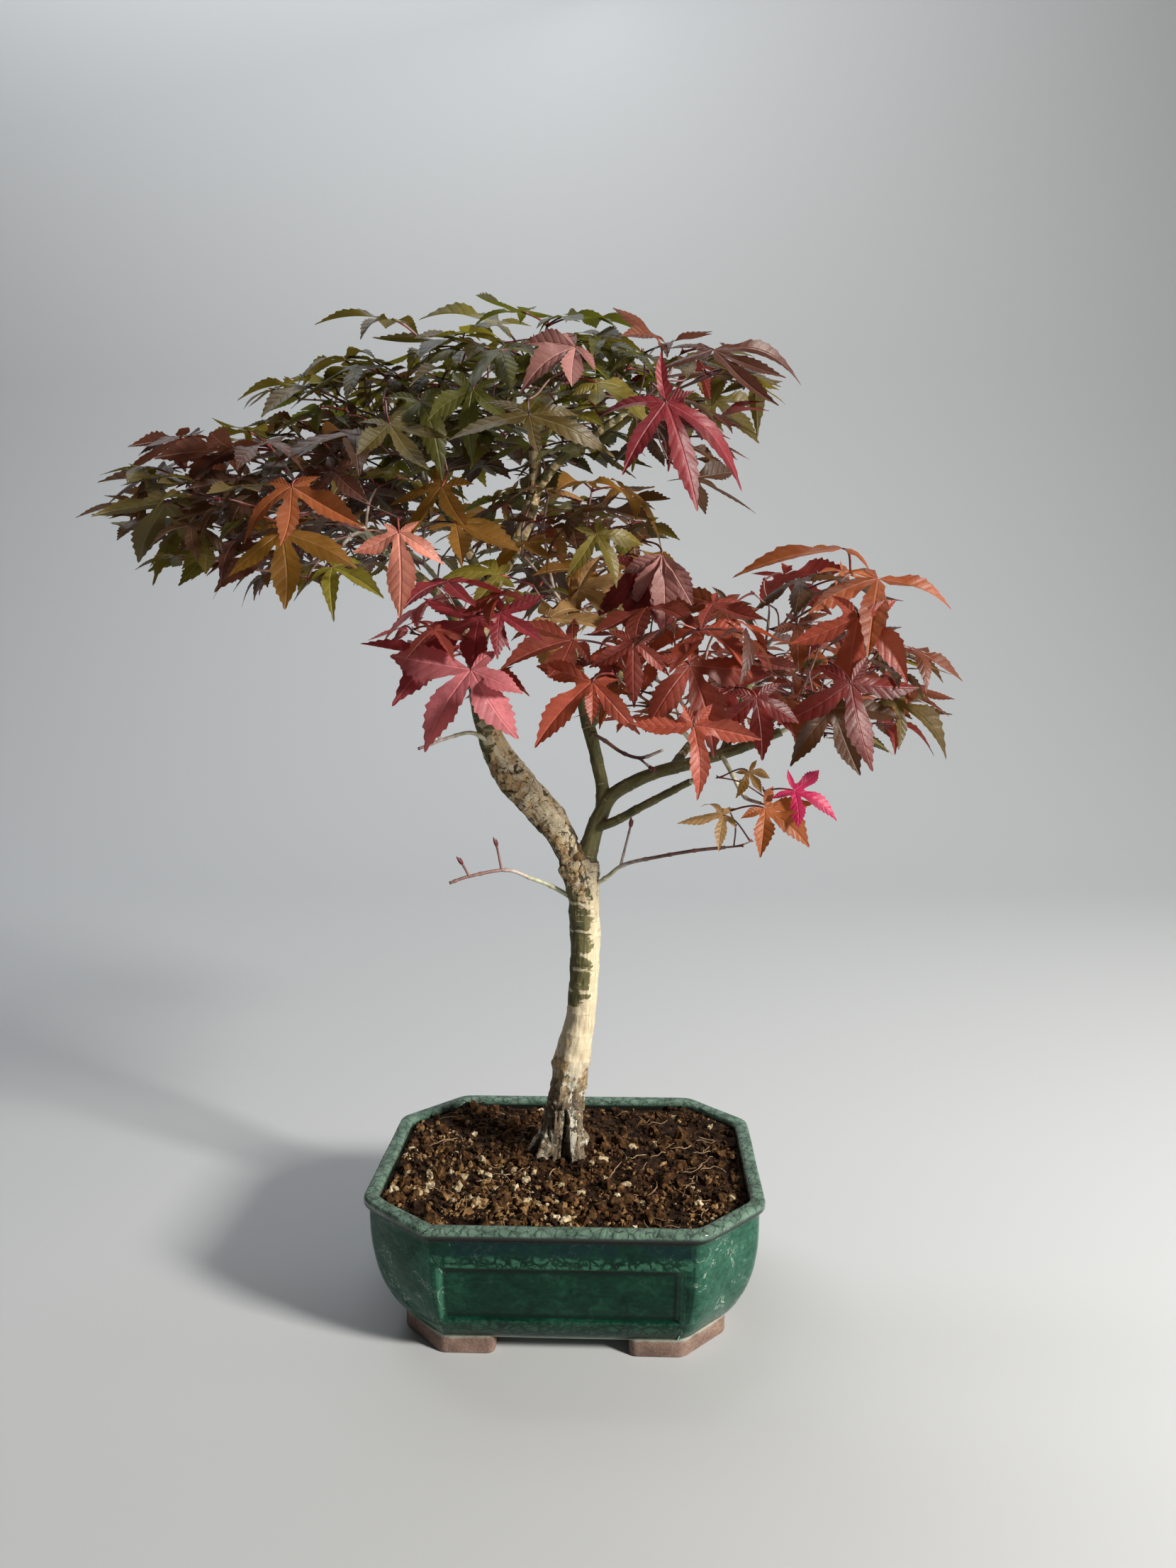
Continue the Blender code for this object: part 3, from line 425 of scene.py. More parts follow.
# %% The plan and the profile
HALF_X, HALF_Y, CUT = 95, 75, 30
LONG_WALL_SHARE = 0.75
WALL_HIGH = 61
PANEL_LOW, PANEL_HIGH, PANEL_DEEP = 21, 49, 1.5
PANEL_X, PANEL_Y = 54.5, 34.5
BORDER = (0, 0.5, 1, 1.5)
PANEL_MARKS = {PANEL_X: 56, PANEL_Y: 36}
# the share of an inset that a slanted corner loses at each end
CUT_SHARE = 1 - math.sqrt(0.5)
OUTSIDE = ((19.5, 8), (17.2, 9.4), (13, 14.5), (8.4, 22.5), (5.2, 32), (3.2, 43), (2.7, 52), (2.6, 61),
           (1.9, 62.4), (0.6, 63), (0, 64), (0, 66), (0.5, 67.1), (1.5, 67.5))
INSIDE = ((5, 67.5), (6.3, 67.2), (7, 66.2), (7.4, 63), (7.8, 60), (9, 45), (13, 30), (19.5, 18),
          (25, 15))


def wall_marks(panel, corner):
    """Places along one wall from corner to corner, with the panel's border among them."""
    inner = np.linspace(-(panel - 1.5), panel - 1.5, PANEL_MARKS[panel])
    border = [panel - b for b in BORDER[:-1]]
    outer = [corner - 5, (corner - 5 + panel) / 2 + 0.4]
    right = sorted([m for m in outer if m > panel + 0.3] + border)
    return [-m for m in reversed(right)] + list(inner) + right


NEXT_WALL = (Vector((0, 1)), Vector((-1, 0)), Vector((0, -1)), Vector((1, 0)))


def plan(inset, share):
    """The pot's plan at an inset, point by point, with each wall before its cut corner."""
    half_x = HALF_X - inset
    half_y = HALF_Y - inset * share
    cut = CUT - inset * (1 + share) * CUT_SHARE
    corner_x = half_x - cut
    corner_y = half_y - cut
    points = []
    for quarter, (sx, sy) in enumerate(((1, -1), (1, 1), (-1, 1), (-1, -1))):
        first = Vector((sx * corner_x, sy * half_y))
        second = Vector((sx * half_x, sy * corner_y))
        if quarter in (0, 2):
            points += [Vector((m * sx, sy * half_y)) for m in wall_marks(PANEL_X, corner_x)]
            ahead = Vector((sx, 0))
        else:
            points += [Vector((sx * half_x, m * sy)) for m in wall_marks(PANEL_Y, corner_y)]
            ahead = Vector((0, sy))
            first, second = second, first
        slope = (second - first).normalized()
        points += rounded(first, -ahead, slope)
        points += [first.lerp(second, t) for t in np.linspace(0.2, 0.8, 13)]
        points += rounded(second, -slope, NEXT_WALL[quarter])
    return points


def rounded(corner, back, ahead, reach=4.6):
    """A corner's point drawn out into a small arc."""
    start, end = corner + back * reach, corner + ahead * reach
    return [start.lerp(corner, t).lerp(corner.lerp(end, t), t) for t in (0, 0.2, 0.4, 0.6, 0.8, 1)]


print("plan points", len(plan(0, 1)))

# %% [markdown]
# The quarters run front, right, back, left, so each wall is followed by the cut corner
# after it. Next, the profile becomes heights with an inset each. Extra rings stand where
# the panels begin and end, and the sharp turns of the outside are averaged away, since a
# thrown and pressed wall has none.

# %% The heights of the rings
def profile_rings(profile, step):
    """The profile with enough heights between its corners for the panel and the light."""
    rows = []
    for (a, low), (b, high) in zip(profile, profile[1:]):
        count = max(1, round(math.hypot(b - a, high - low) / step))
        rows += [(a + (b - a) * k / count, low + (high - low) * k / count) for k in range(count)]
    return [*rows, profile[-1]]


def soften(rows, rounds=2):
    """Averages a profile's corners away, keeping its ends."""
    for _ in range(rounds):
        inner = [tuple((a + 2 * b + c) / 4 for a, b, c in zip(*trio))
                 for trio in zip(rows, rows[1:], rows[2:])]
        rows = [rows[0], *inner, rows[-1]]
    return rows


def outside_rows():
    """The outside's rings: the wall softened, the rim above it as it is."""
    low = soften(profile_rings([r for r in OUTSIDE if r[1] <= WALL_HIGH], 2.4))
    marks = [PANEL_LOW + b for b in BORDER] + [PANEL_HIGH - b for b in BORDER]
    heights = [z for _, z in low]
    kept = [row for row in low if all(abs(row[1] - m) > 0.5 for m in marks)]
    kept += [(float(np.interp(m, heights, [a for a, _ in low])), m) for m in marks]
    return sorted(kept, key=lambda row: row[1]) + [r for r in OUTSIDE if r[1] > WALL_HIGH]


print("outside rings", len(outside_rows()))

# %% [markdown]
# The bowl is one ring of edges that is extruded from height to height. After each step
# the new points are put where the plan says, so the panels sink in and the walls waver a
# little, as hand-pressed clay does. The floor closes it at both ends.

# %% The bowl
WAVER, WAVER_SCALE = 0.22, 0.045


def ease(value, low, high):
    share = min(1, max(0, (value - low) / (high - low)))
    return share * share * (3 - 2 * share)


def inside_panel(along, z, half):
    """How far inside a panel's edge a place on its wall lies, or less than 0 outside."""
    return min(half - abs(along), z - PANEL_LOW, PANEL_HIGH - z)


def sink(along, z, half):
    """How deep a panel stands at a place on its wall."""
    return PANEL_DEEP * ease(inside_panel(along, z, half), 0, BORDER[-1])


def ring_points(inset, z, share, panels):
    points = []
    for p in plan(inset, share):
        point = Vector((p.x, p.y, z))
        wave = WAVER * noise.noise(point * WAVER_SCALE)
        point += Vector((p.x, p.y, 0)).normalized() * wave
        if panels and PANEL_LOW < z < PANEL_HIGH:
            if abs(abs(p.y) - (HALF_Y - inset * share)) < 0.05 and abs(p.x) < PANEL_X:
                point.y -= math.copysign(sink(p.x, z, PANEL_X), p.y)
            if abs(abs(p.x) - (HALF_X - inset)) < 0.05 and abs(p.y) < PANEL_Y:
                point.x -= math.copysign(sink(p.y, z, PANEL_Y), p.x)
        points.append(point)
    return points


def extrude_ring(shape, edges):
    """Draws a ring of edges out once: the new points, then the new edges."""
    grown = bmesh.ops.extrude_edge_only(shape, edges=edges)["geom"]
    fresh = points_of(grown)
    among = set(fresh)
    return fresh, [g for g in grown if isinstance(g, bmesh.types.BMEdge) and among >= set(g.verts)]


def disc(shape, sides):
    """A closed disc: its points, then its edges."""
    ring = bmesh.ops.create_circle(shape, segments=sides, radius=1, cap_ends=True)["verts"]
    return ring, list(dict.fromkeys(e for v in ring for e in v.link_edges))


def throw_bowl():
    """One ring of edges extruded down, round and up through every height."""
    rows = [(inset, z, LONG_WALL_SHARE, True) for inset, z in outside_rows()]
    rows += [(inset, z, 1, False) for inset, z in profile_rings(INSIDE, 3)]
    rows.insert(0, (27, 8.6, LONG_WALL_SHARE, False))
    shape = bmesh.new()
    ring, edges = disc(shape, len(ring_points(*rows[0])))
    for number, row in enumerate(rows):
        if number:
            fresh, edges = extrude_ring(shape, edges)
            among, partner = set(fresh), {}
            for v in fresh:
                old = next(e.other_vert(v) for e in v.link_edges if e.other_vert(v) not in among)
                partner[old] = v
            ring = [partner[v] for v in ring]
        for v, p in zip(ring, ring_points(*row)):
            v.co = p
    bmesh.ops.contextual_create(shape, geom=edges)
    return shape


def modified(mesh, kind, settings):
    """A mesh with one modifier worked into it."""
    rough = bring(bpy.data.objects.new(mesh.name, mesh))
    worker = rough.modifiers.new("work", kind)
    for key, value in settings.items():
        setattr(worker, key, value)
    graph = bpy.context.evaluated_depsgraph_get()
    done = bpy.data.meshes.new_from_object(rough.evaluated_get(graph))
    bpy.data.objects.remove(rough, do_unlink=True)
    return done


# %% [markdown]
# Two drain holes go through the floor. This is the one place where a boolean is the
# plain way: cylinders stand where the drill would, and are taken out of the clay. Then
# each point learns how far it faces a corner and how far inside a panel it lies.

# %% Drains and the places on the bowl
DRAINS, DRAIN_RADIUS, DRAIN_LONG, DRAIN_MIDDLE = (-38, 38), 6, 12, 12
NEAR_PANEL = 6


def drill(mesh):
    """The two drain holes through the floor."""
    shape = bmesh.new()
    for x in DRAINS:
        bmesh.ops.create_cone(shape, cap_ends=True, segments=40, radius1=DRAIN_RADIUS,
                              radius2=DRAIN_RADIUS, depth=DRAIN_LONG,
                              matrix=Matrix.Translation((x, 0, DRAIN_MIDDLE)))
    drills = bring(bpy.data.objects.new("drills", mesh_from_shape("drills", shape)))
    holed = modified(mesh, "BOOLEAN", {"operation": "DIFFERENCE", "object": drills})
    bpy.data.objects.remove(drills, do_unlink=True)
    return holed


def note_places(mesh):
    """Stores how far each point faces a corner, and how far inside a panel it lies."""
    corners, panels = [], []
    for v in mesh.vertices:
        point, out = (v.co - MIDDLE) / MM, v.normal
        corners.append(min(1, 4 * abs(out.x * out.y)))
        along, half = (point.x, PANEL_X) if abs(out.y) > abs(out.x) else (point.y, PANEL_Y)
        panels.append(max(-NEAR_PANEL, min(NEAR_PANEL, inside_panel(along, point.z, half))))
    store(mesh, "corner", corners)
    store(mesh, "panel", panels)
    return mesh


bowl_mesh = note_places(drill(mesh_from_shape("pot_bowl", throw_bowl())))
print("bowl faces", len(bowl_mesh.polygons))

# %% [markdown]
# Each foot is an angle of bare clay under a corner. One flat outline is extruded up,
# its standing edges are bevelled round, and the other three feet are mirrored copies.

# %% The feet
FOOT_OUT, FOOT_IN, FOOT_TOP = 18.4, 31, 9.6
FOOT_END_X, FOOT_END_Y = 31, 22
END_RADIUS, CORNER_RADIUS, UNDER_RADIUS = 3.6, 2.5, 0.8


def inner_plan(inset):
    """Half the length and width of the inside's plan at an inset, and its corners' cut."""
    return HALF_X - inset, HALF_Y - inset, CUT - inset * (2 - math.sqrt(2))


def foot_outline():
    outer_x, outer_y = HALF_X - FOOT_OUT, HALF_Y - FOOT_OUT * LONG_WALL_SHARE
    cut = CUT - FOOT_OUT * (1 + LONG_WALL_SHARE) * CUT_SHARE
    inner_x, inner_y, inner_cut = inner_plan(FOOT_IN)
    return ((FOOT_END_X, -outer_y), (outer_x - cut, -outer_y), (outer_x, -outer_y + cut),
            (outer_x, -FOOT_END_Y), (inner_x, -FOOT_END_Y), (inner_x, -inner_y + inner_cut),
            (inner_x - inner_cut, -inner_y), (FOOT_END_X, -inner_y))


def round_off(shape, edges, radius, segments):
    bmesh.ops.bevel(shape, geom=edges, offset=radius, offset_type="OFFSET", segments=segments,
                    profile=0.5, affect="EDGES", material=-1)


def press_foot(shape):
    """The front right foot, its ends rounded as if by a thumb."""
    corners = [shape.verts.new((x, y, 0)) for x, y in foot_outline()]
    base = shape.faces.new(corners)
    grown = bmesh.ops.extrude_face_region(shape, geom=[base])["geom"]
    bmesh.ops.translate(shape, vec=(0, 0, FOOT_TOP), verts=points_of(grown))
    # the extrusion may take the first face away, so the foot is closed underneath again
    if base not in shape.faces[:]:
        shape.faces.new(corners)
    standing = [e for e in shape.edges if abs(e.verts[0].co.z - e.verts[1].co.z) > 1]
    ends = [e for e in standing if e.verts[0].co.x < FOOT_END_X + 0.1
            or abs(e.verts[0].co.y + FOOT_END_Y) < 0.1]
    others = [e for e in standing if e not in ends]
    round_off(shape, ends, END_RADIUS, 5)
    round_off(shape, [e for e in others if e.is_valid], CORNER_RADIUS, 4)
    under = [e for e in shape.edges if e.verts[0].co.z < 0.01 and e.verts[1].co.z < 0.01]
    round_off(shape, under, UNDER_RADIUS, 3)


def press_feet():
    shape = bmesh.new()
    press_foot(shape)
    quarter = list(shape.faces)
    for flip in ((-1, 1, 1), (1, -1, 1), (-1, -1, 1)):
        copied = bmesh.ops.duplicate(shape, geom=quarter)["geom"]
        bmesh.ops.scale(shape, vec=flip, verts=points_of(copied))
    return shape


feet_mesh = mesh_from_shape("pot_feet", press_feet(), 40)
print("feet faces", len(feet_mesh.polygons))

# %% [markdown]
# The glaze is thick and dark green where it pooled, breaks to a pale sage with dark
# crackle on the rim and above the panels, and leaves a thin pale line where it stops
# short of the clay. Painted shade darkens the underside of the lip and a band just inside
# each panel's edge. Cell patterns give the crackle, and height masks put it in place.

# %% Glaze and clay
DEEP = (0.0010, 0.010, 0.0060)
BOTTLE = (0.0030, 0.027, 0.0150)
SEA = (0.010, 0.066, 0.038)
FLAKE = (0.038, 0.125, 0.076)
TEAL = (0.0014, 0.013, 0.0160)
SAGE = (0.118, 0.190, 0.142)
PALE = (0.34, 0.40, 0.33)
# the near-black laid under the lip is painted shade
LIP_SHADE = (0.010, 0.008, 0.006)
CLAY = (0.205, 0.128, 0.098)
RIM_FLAKE, RIM_NET, RIM_DULL = (0.060, 0.105, 0.078), (0.014, 0.022, 0.017), (0.075, 0.105, 0.085)


def rim_glaze(finish, fine, drift):
    """The sage rim with its flakes, its dark net of cracks and its duller drifts."""
    flake = finish.rise(finish.cells(4.6) + fine * 0.5, 0.55, 0.95)
    net = finish.fall(finish.cells(4.6, "DISTANCE_TO_EDGE"), 0.01, 0.085)
    return finish.coats(SAGE, (
        (flake * 0.8, RIM_FLAKE),
        (net * finish.rise(fine, 0.36, 0.56) * 0.85, RIM_NET),
        (finish.rise(drift, 0.52, 0.72) * 0.5, RIM_DULL)))


def glaze():
    finish = Finish("green_crackle_glaze")
    height = finish.axis(2)
    corner, panel = finish.carried("corner"), finish.carried("panel")
    cloud = finish.grain(20, 4, 0.6, warp=0.8)
    fine = finish.grain(2.6, 4, 0.65)
    drift = finish.grain(8, 3, 0.55, stretch=(1, 1, 2.2), warp=1.2)
    upper = finish.rise(height, 52, 57) * finish.rise(cloud, 0.36, 0.60)
    crack = finish.fall(finish.cells(4.8, "DISTANCE_TO_EDGE"), 0.03, 0.15)
    over_panel = finish.band(height, 48.5, 50, 52.5, 56)
    under_panel = finish.band(height, 12, 15, 18, 20.5)
    broken = (over_panel + under_panel * 0.5) * finish.rise(drift * 0.6 + fine * 0.4, 0.42, 0.56)
    # a lighter sea green that the cut corners are made
    corner_green = finish.ramp(cloud * 0.5 + fine * 0.5, ((0.38, SEA), (0.60, (0.038, 0.125, 0.084))))
    vein = finish.fall(abs(finish.grain(13, 5, 0.62, warp=0.6) - 0.5), 0.002, 0.014)
    flat_wall = (1 - corner) * finish.fall(height, 54, 56)
    # a lighter, patchy band along each panel's border: partly glaze breaking thin on the edge, partly a
    # painted highlight
    ridge = finish.band(panel, -2.6, -0.8, -0.3, 0.5) * flat_wall
    # a darker band just inside each panel's edge: painted shade in the recess
    recess_shade = finish.band(panel, 0.7, 1.5, 2.2, 4.4) * flat_wall
    rim = finish.rise(height, 64.4, 66.2)
    # the underside of the lip, which gets painted shade
    line = finish.band(height, 61.4, 62.4, 64.2, 65.2)
    streak = finish.grain(5, 5, 0.7, stretch=(1, 1, 0.35), warp=2)
    bare = finish.fall(height + fine * 2, 9.2, 11.6)
    body = finish.ramp(cloud * 0.45 + drift * 0.35 + fine * 0.2,
                       ((0.34, DEEP), (0.50, BOTTLE), (0.68, SEA)))
    body = finish.coats(body, (
        (upper * 0.85, TEAL),
        (broken * (1 - crack) * 0.8, FLAKE),
        (broken * crack * 0.8, DEEP),
        (corner * (0.55 + 0.30 * finish.rise(drift, 0.30, 0.62)), corner_green),
        (vein * finish.rise(cloud, 0.48, 0.60) * (0.04 + corner * 0.70), PALE),
        (ridge * finish.rise(fine, 0.40, 0.66) * 0.5, FLAKE),
        # painted shade inside the panels' edges
        (recess_shade * 0.85, DEEP),
        (finish.band(corner, 0.15, 0.45, 0.45, 0.75) * 0.55, DEEP),
        (rim, rim_glaze(finish, fine, drift)),
        # painted shade under the lip, in patches
        (line * finish.rise(drift, 0.26, 0.42) * 0.92, LIP_SHADE),
        (finish.rise(streak, 0.66, 0.76) * 0.35, PALE),
        (bare * 0.75, PALE)))
    lip = finish.band(height, 63.6, 64.6, 66.7, 67.2)
    finish.feed(finish.shader.inputs["Coat Weight"], lip * 0.9 + 0.06)
    finish.shader.inputs["Coat Roughness"].default_value = 0.06
    rough = 0.11 + fine * 0.12 + rim * 0.08 + rim * crack * 0.3 + bare * 0.25
    relief = cloud * 0.8 + drift * 0.5 - crack * (rim + broken) * 0.35
    return finish.show(body, rough, relief, 0.5, gloss=0.13)


def clay():
    finish = Finish("bare_pink_clay")
    grit = finish.grain(1.2, 4, 0.7)
    stain = finish.grain(9, 3, 0.6)
    colour = finish.ramp(grit * 0.5 + stain * 0.5, (
        (0.35, (0.10, 0.060, 0.047)), (0.52, CLAY), (0.70, (0.32, 0.22, 0.17))))
    high = finish.rise(finish.axis(2) + stain * 3, 8.6, 10.4)
    colour = finish.mix(high * 0.7, colour, PALE)
    return finish.show(colour, 0.75 + grit * 0.15, grit, 0.25)


add_piece("pot_bowl", bowl_mesh, glaze(), "glazed_pot", ["pot"])
add_piece("pot_feet", feet_mesh, clay(), "glazed_pot")

# %% [markdown]
# ## The soil
# Bonsai soil is fired clay and pumice in grains of 2 to 5 mm. A painted bump would look
# flat from this close, so a bed is cut to the pot's plan and covered with real grains:
# a few lumpy pebbles, copied by the thousand into joined meshes.

# %% The bed
SOIL_EDGE, SOIL_TOP = 60.3, 62.2
BED_INSET = 7.6
# how much each side of the bed shrinks in, and how far down, on its way under the top
BED_SIDES = ((12, 0.985), (20, 0.95), (14, 0.90))
STEM_X, STEM_Y = -4.5, 16


def bed_height(x, y):
    """The top of the packed soil: mounded to the trunk, banked to the back and uneven."""
    far = min(1, math.hypot(x / 80, y / 62))
    lumps = 1.9 * noise.noise(Vector((x, y, 3)) * 0.075)
    lumps += 1.4 * noise.noise(Vector((x, y, 9)) * 0.19)
    bank = 2.6 * ease(y, 20, 62) + 1.6 * ease(abs(x), 45, 84) + 0.8 * ease(-y, 25, 60)
    mound = (SOIL_TOP - SOIL_EDGE) * (1 - far * far)
    return SOIL_EDGE + mound + lumps * (1 - 0.4 * far) + bank


def cut_to_plan(shape, inset):
    """Trims a flat sheet with the eight walls' planes."""
    half_x, half_y, cut = inner_plan(inset)
    slanted = (half_x + half_y - cut) / math.sqrt(2)
    for k in range(8):
        out = Vector((math.cos(math.pi * k / 4), math.sin(math.pi * k / 4), 0))
        reach = (half_x, slanted, half_y, slanted)[k % 4]
        bmesh.ops.bisect_plane(shape, geom=[*shape.verts, *shape.edges, *shape.faces],
                               plane_co=out * reach, plane_no=out, clear_outer=True)


def spread_bed():
    """A grid cut to the plan and lifted to the soil's height, with its sides drawn down."""
    shape = bmesh.new()
    bmesh.ops.create_grid(shape, x_segments=90, y_segments=72, size=1)
    bmesh.ops.scale(shape, vec=(HALF_X, HALF_Y, 1), verts=shape.verts)
    cut_to_plan(shape, BED_INSET)
    for v in shape.verts:
        v.co.z = bed_height(v.co.x, v.co.y)
    edges = [e for e in shape.edges if e.is_boundary]
    for depth, share in BED_SIDES:
        verts, edges = extrude_ring(shape, edges)
        bmesh.ops.translate(shape, vec=(0, 0, -depth), verts=verts)
        bmesh.ops.scale(shape, vec=(share, share, 1), verts=verts)
    bmesh.ops.contextual_create(shape, geom=edges)
    return shape


bed_mesh = mesh_from_shape("soil_bed", spread_bed())
print("bed faces", len(bed_mesh.polygons))

# %% [markdown]
# A grain is a ball pushed in and out by noise. Physics could drop them into place, but
# a throw of places on the bed, each tried against the pot's plan and kept off the stem,
# gives the same look at once and the same grains at each run.

# %% Grains
GRAIN_CREASE = 24


def pebble(rng, divisions):
    """A lumpy pebble about one millimetre in radius."""
    shape = bmesh.new()
    bmesh.ops.create_icosphere(shape, subdivisions=divisions, radius=1)
    seed = Vector((rng.uniform(0, 50), rng.uniform(0, 50), rng.uniform(0, 50)))
    for v in shape.verts:
        v.co *= 1 + 0.70 * noise.noise(v.co * 1.2 + seed) + 0.55 * noise.noise(v.co * 2.9 + seed)
    verts = np.array([v.co for v in shape.verts])
    faces = [[v.index for v in f.verts] for f in shape.faces]
    shape.free()
    return verts, faces


def in_plan(x, y, inset):
    half_x, half_y, cut = inner_plan(inset)
    return abs(x) < half_x and abs(y) < half_y and abs(x) + abs(y) < half_x + half_y - cut


def scatter(name, count, rng, kinds, size, keep):
    """Grains on the bed, joined: a place, a turn and a size for each."""
    parts = []
    while len(parts) < count:
        x, y = rng.uniform(-HALF_X, HALF_X), rng.uniform(-HALF_Y, HALF_Y)
        radius = size[0] + (size[1] - size[0]) * rng.random() ** 1.8
        if not in_plan(x, y, BED_INSET + radius * 0.8) or rng.random() > keep(x, y):
            continue
        if math.hypot(x - STEM_X, y - STEM_Y) < 9 + radius:
            continue
        points, sides = kinds[rng.randrange(len(kinds))]
        turn = Vector([rng.gauss(0, 1) for _ in range(3)]).to_track_quat("Z", "Y").to_matrix()
        squeeze = np.array([rng.uniform(0.75, 1.2), rng.uniform(0.75, 1.2), rng.uniform(0.6, 1)])
        placed = (points * squeeze * radius) @ np.array(turn).T
        lift = rng.uniform(-0.25, 0.75) * radius
        parts.append((placed + np.array([x, y, bed_height(x, y) + lift]), sides))
    mesh = joined(name, parts)
    mesh.set_sharp_from_angle(angle=math.radians(GRAIN_CREASE))
    return mesh


# %% [markdown]
# Damp clay is nearly black brown and pumice almost white, and every grain is mottled.
# One finish does for all of them, from a dark, a middle and a light earth. The pale
# grains lie mostly to the front, where watering has washed the soil.

# %% Soil finishes and layers
def earth(name, dark, middle, light, size):
    finish = Finish(name)
    lump = finish.grain(size, 2, 0.5)
    grit = finish.grain(0.7, 4, 0.7)
    colour = finish.ramp(lump * 0.6 + grit * 0.4, ((0.36, dark), (0.52, middle), (0.66, light)))
    return finish.show(colour, 0.82 + grit * 0.12, grit, 0.35, gloss=0.15)


def anywhere(x, y):
    return 1


def in_patches(x, y):
    return ease(noise.noise(Vector((x, y, 20)) * 0.06), -0.25, 0.2)


def to_the_front(x, y):
    front = ease(-y - 0.45 * x, -25, 60)
    return (0.14 + 0.86 * front) * (0.2 + 0.8 * in_patches(x + 40, y))


def lay_soil():
    rng = random.Random(5)
    fine = [pebble(rng, 1) for _ in range(5)]
    round_ones = [pebble(rng, 2) for _ in range(7)]
    dark = earth("damp_clay_grains", (0.0050, 0.0022, 0.0009), (0.024, 0.0102, 0.0040),
                 (0.080, 0.038, 0.0150), 3.6)
    clod = earth("crumbly_clods", (0.014, 0.0058, 0.0019), (0.062, 0.028, 0.0092),
                 (0.160, 0.083, 0.031), 2.8)
    tan = earth("tan_clay_grains", (0.070, 0.034, 0.012), (0.21, 0.115, 0.045),
                (0.42, 0.27, 0.130), 3.5)
    pale = earth("pumice_grains", (0.22, 0.155, 0.080), (0.48, 0.38, 0.235),
                 (0.72, 0.62, 0.44), 4)
    add_piece("soil_bed", bed_mesh, dark, "granular_soil", ["soil"])
    for name, count, kinds, size, keep, finish in (
        ("soil_crumbs", 2300, fine, (0.4, 1.1), anywhere, dark),
        ("soil_brown_crumbs", 1900, fine, (0.5, 1.3), in_patches, clod),
        ("soil_dark_grains", 560, round_ones, (1, 2.2), anywhere, dark),
        ("soil_clods", 380, round_ones, (1.2, 3.6), in_patches, clod),
        ("soil_tan_crumbs", 1000, fine, (0.5, 1.2), to_the_front, tan),
        ("soil_tan_grains", 300, round_ones, (0.9, 2.3), to_the_front, tan),
        ("soil_pale_grains", 190, round_ones, (0.6, 2.6), to_the_front, pale),
    ):
        add_piece(name, scatter(name, count, rng, kinds, size, keep), finish, "granular_soil")


lay_soil()

# %% [markdown]
# ## The limbs
# The trunk, the leader and the boughs are tapering sweeps along smooth curves. A curve
# object with a bevel would do for bare pipes. Here each is a disc extruded along its
# points, because the closed bodies can then be melted into one skin by a voxel remesh,
# which heals every fork, and the bark's relief is raised on that skin.

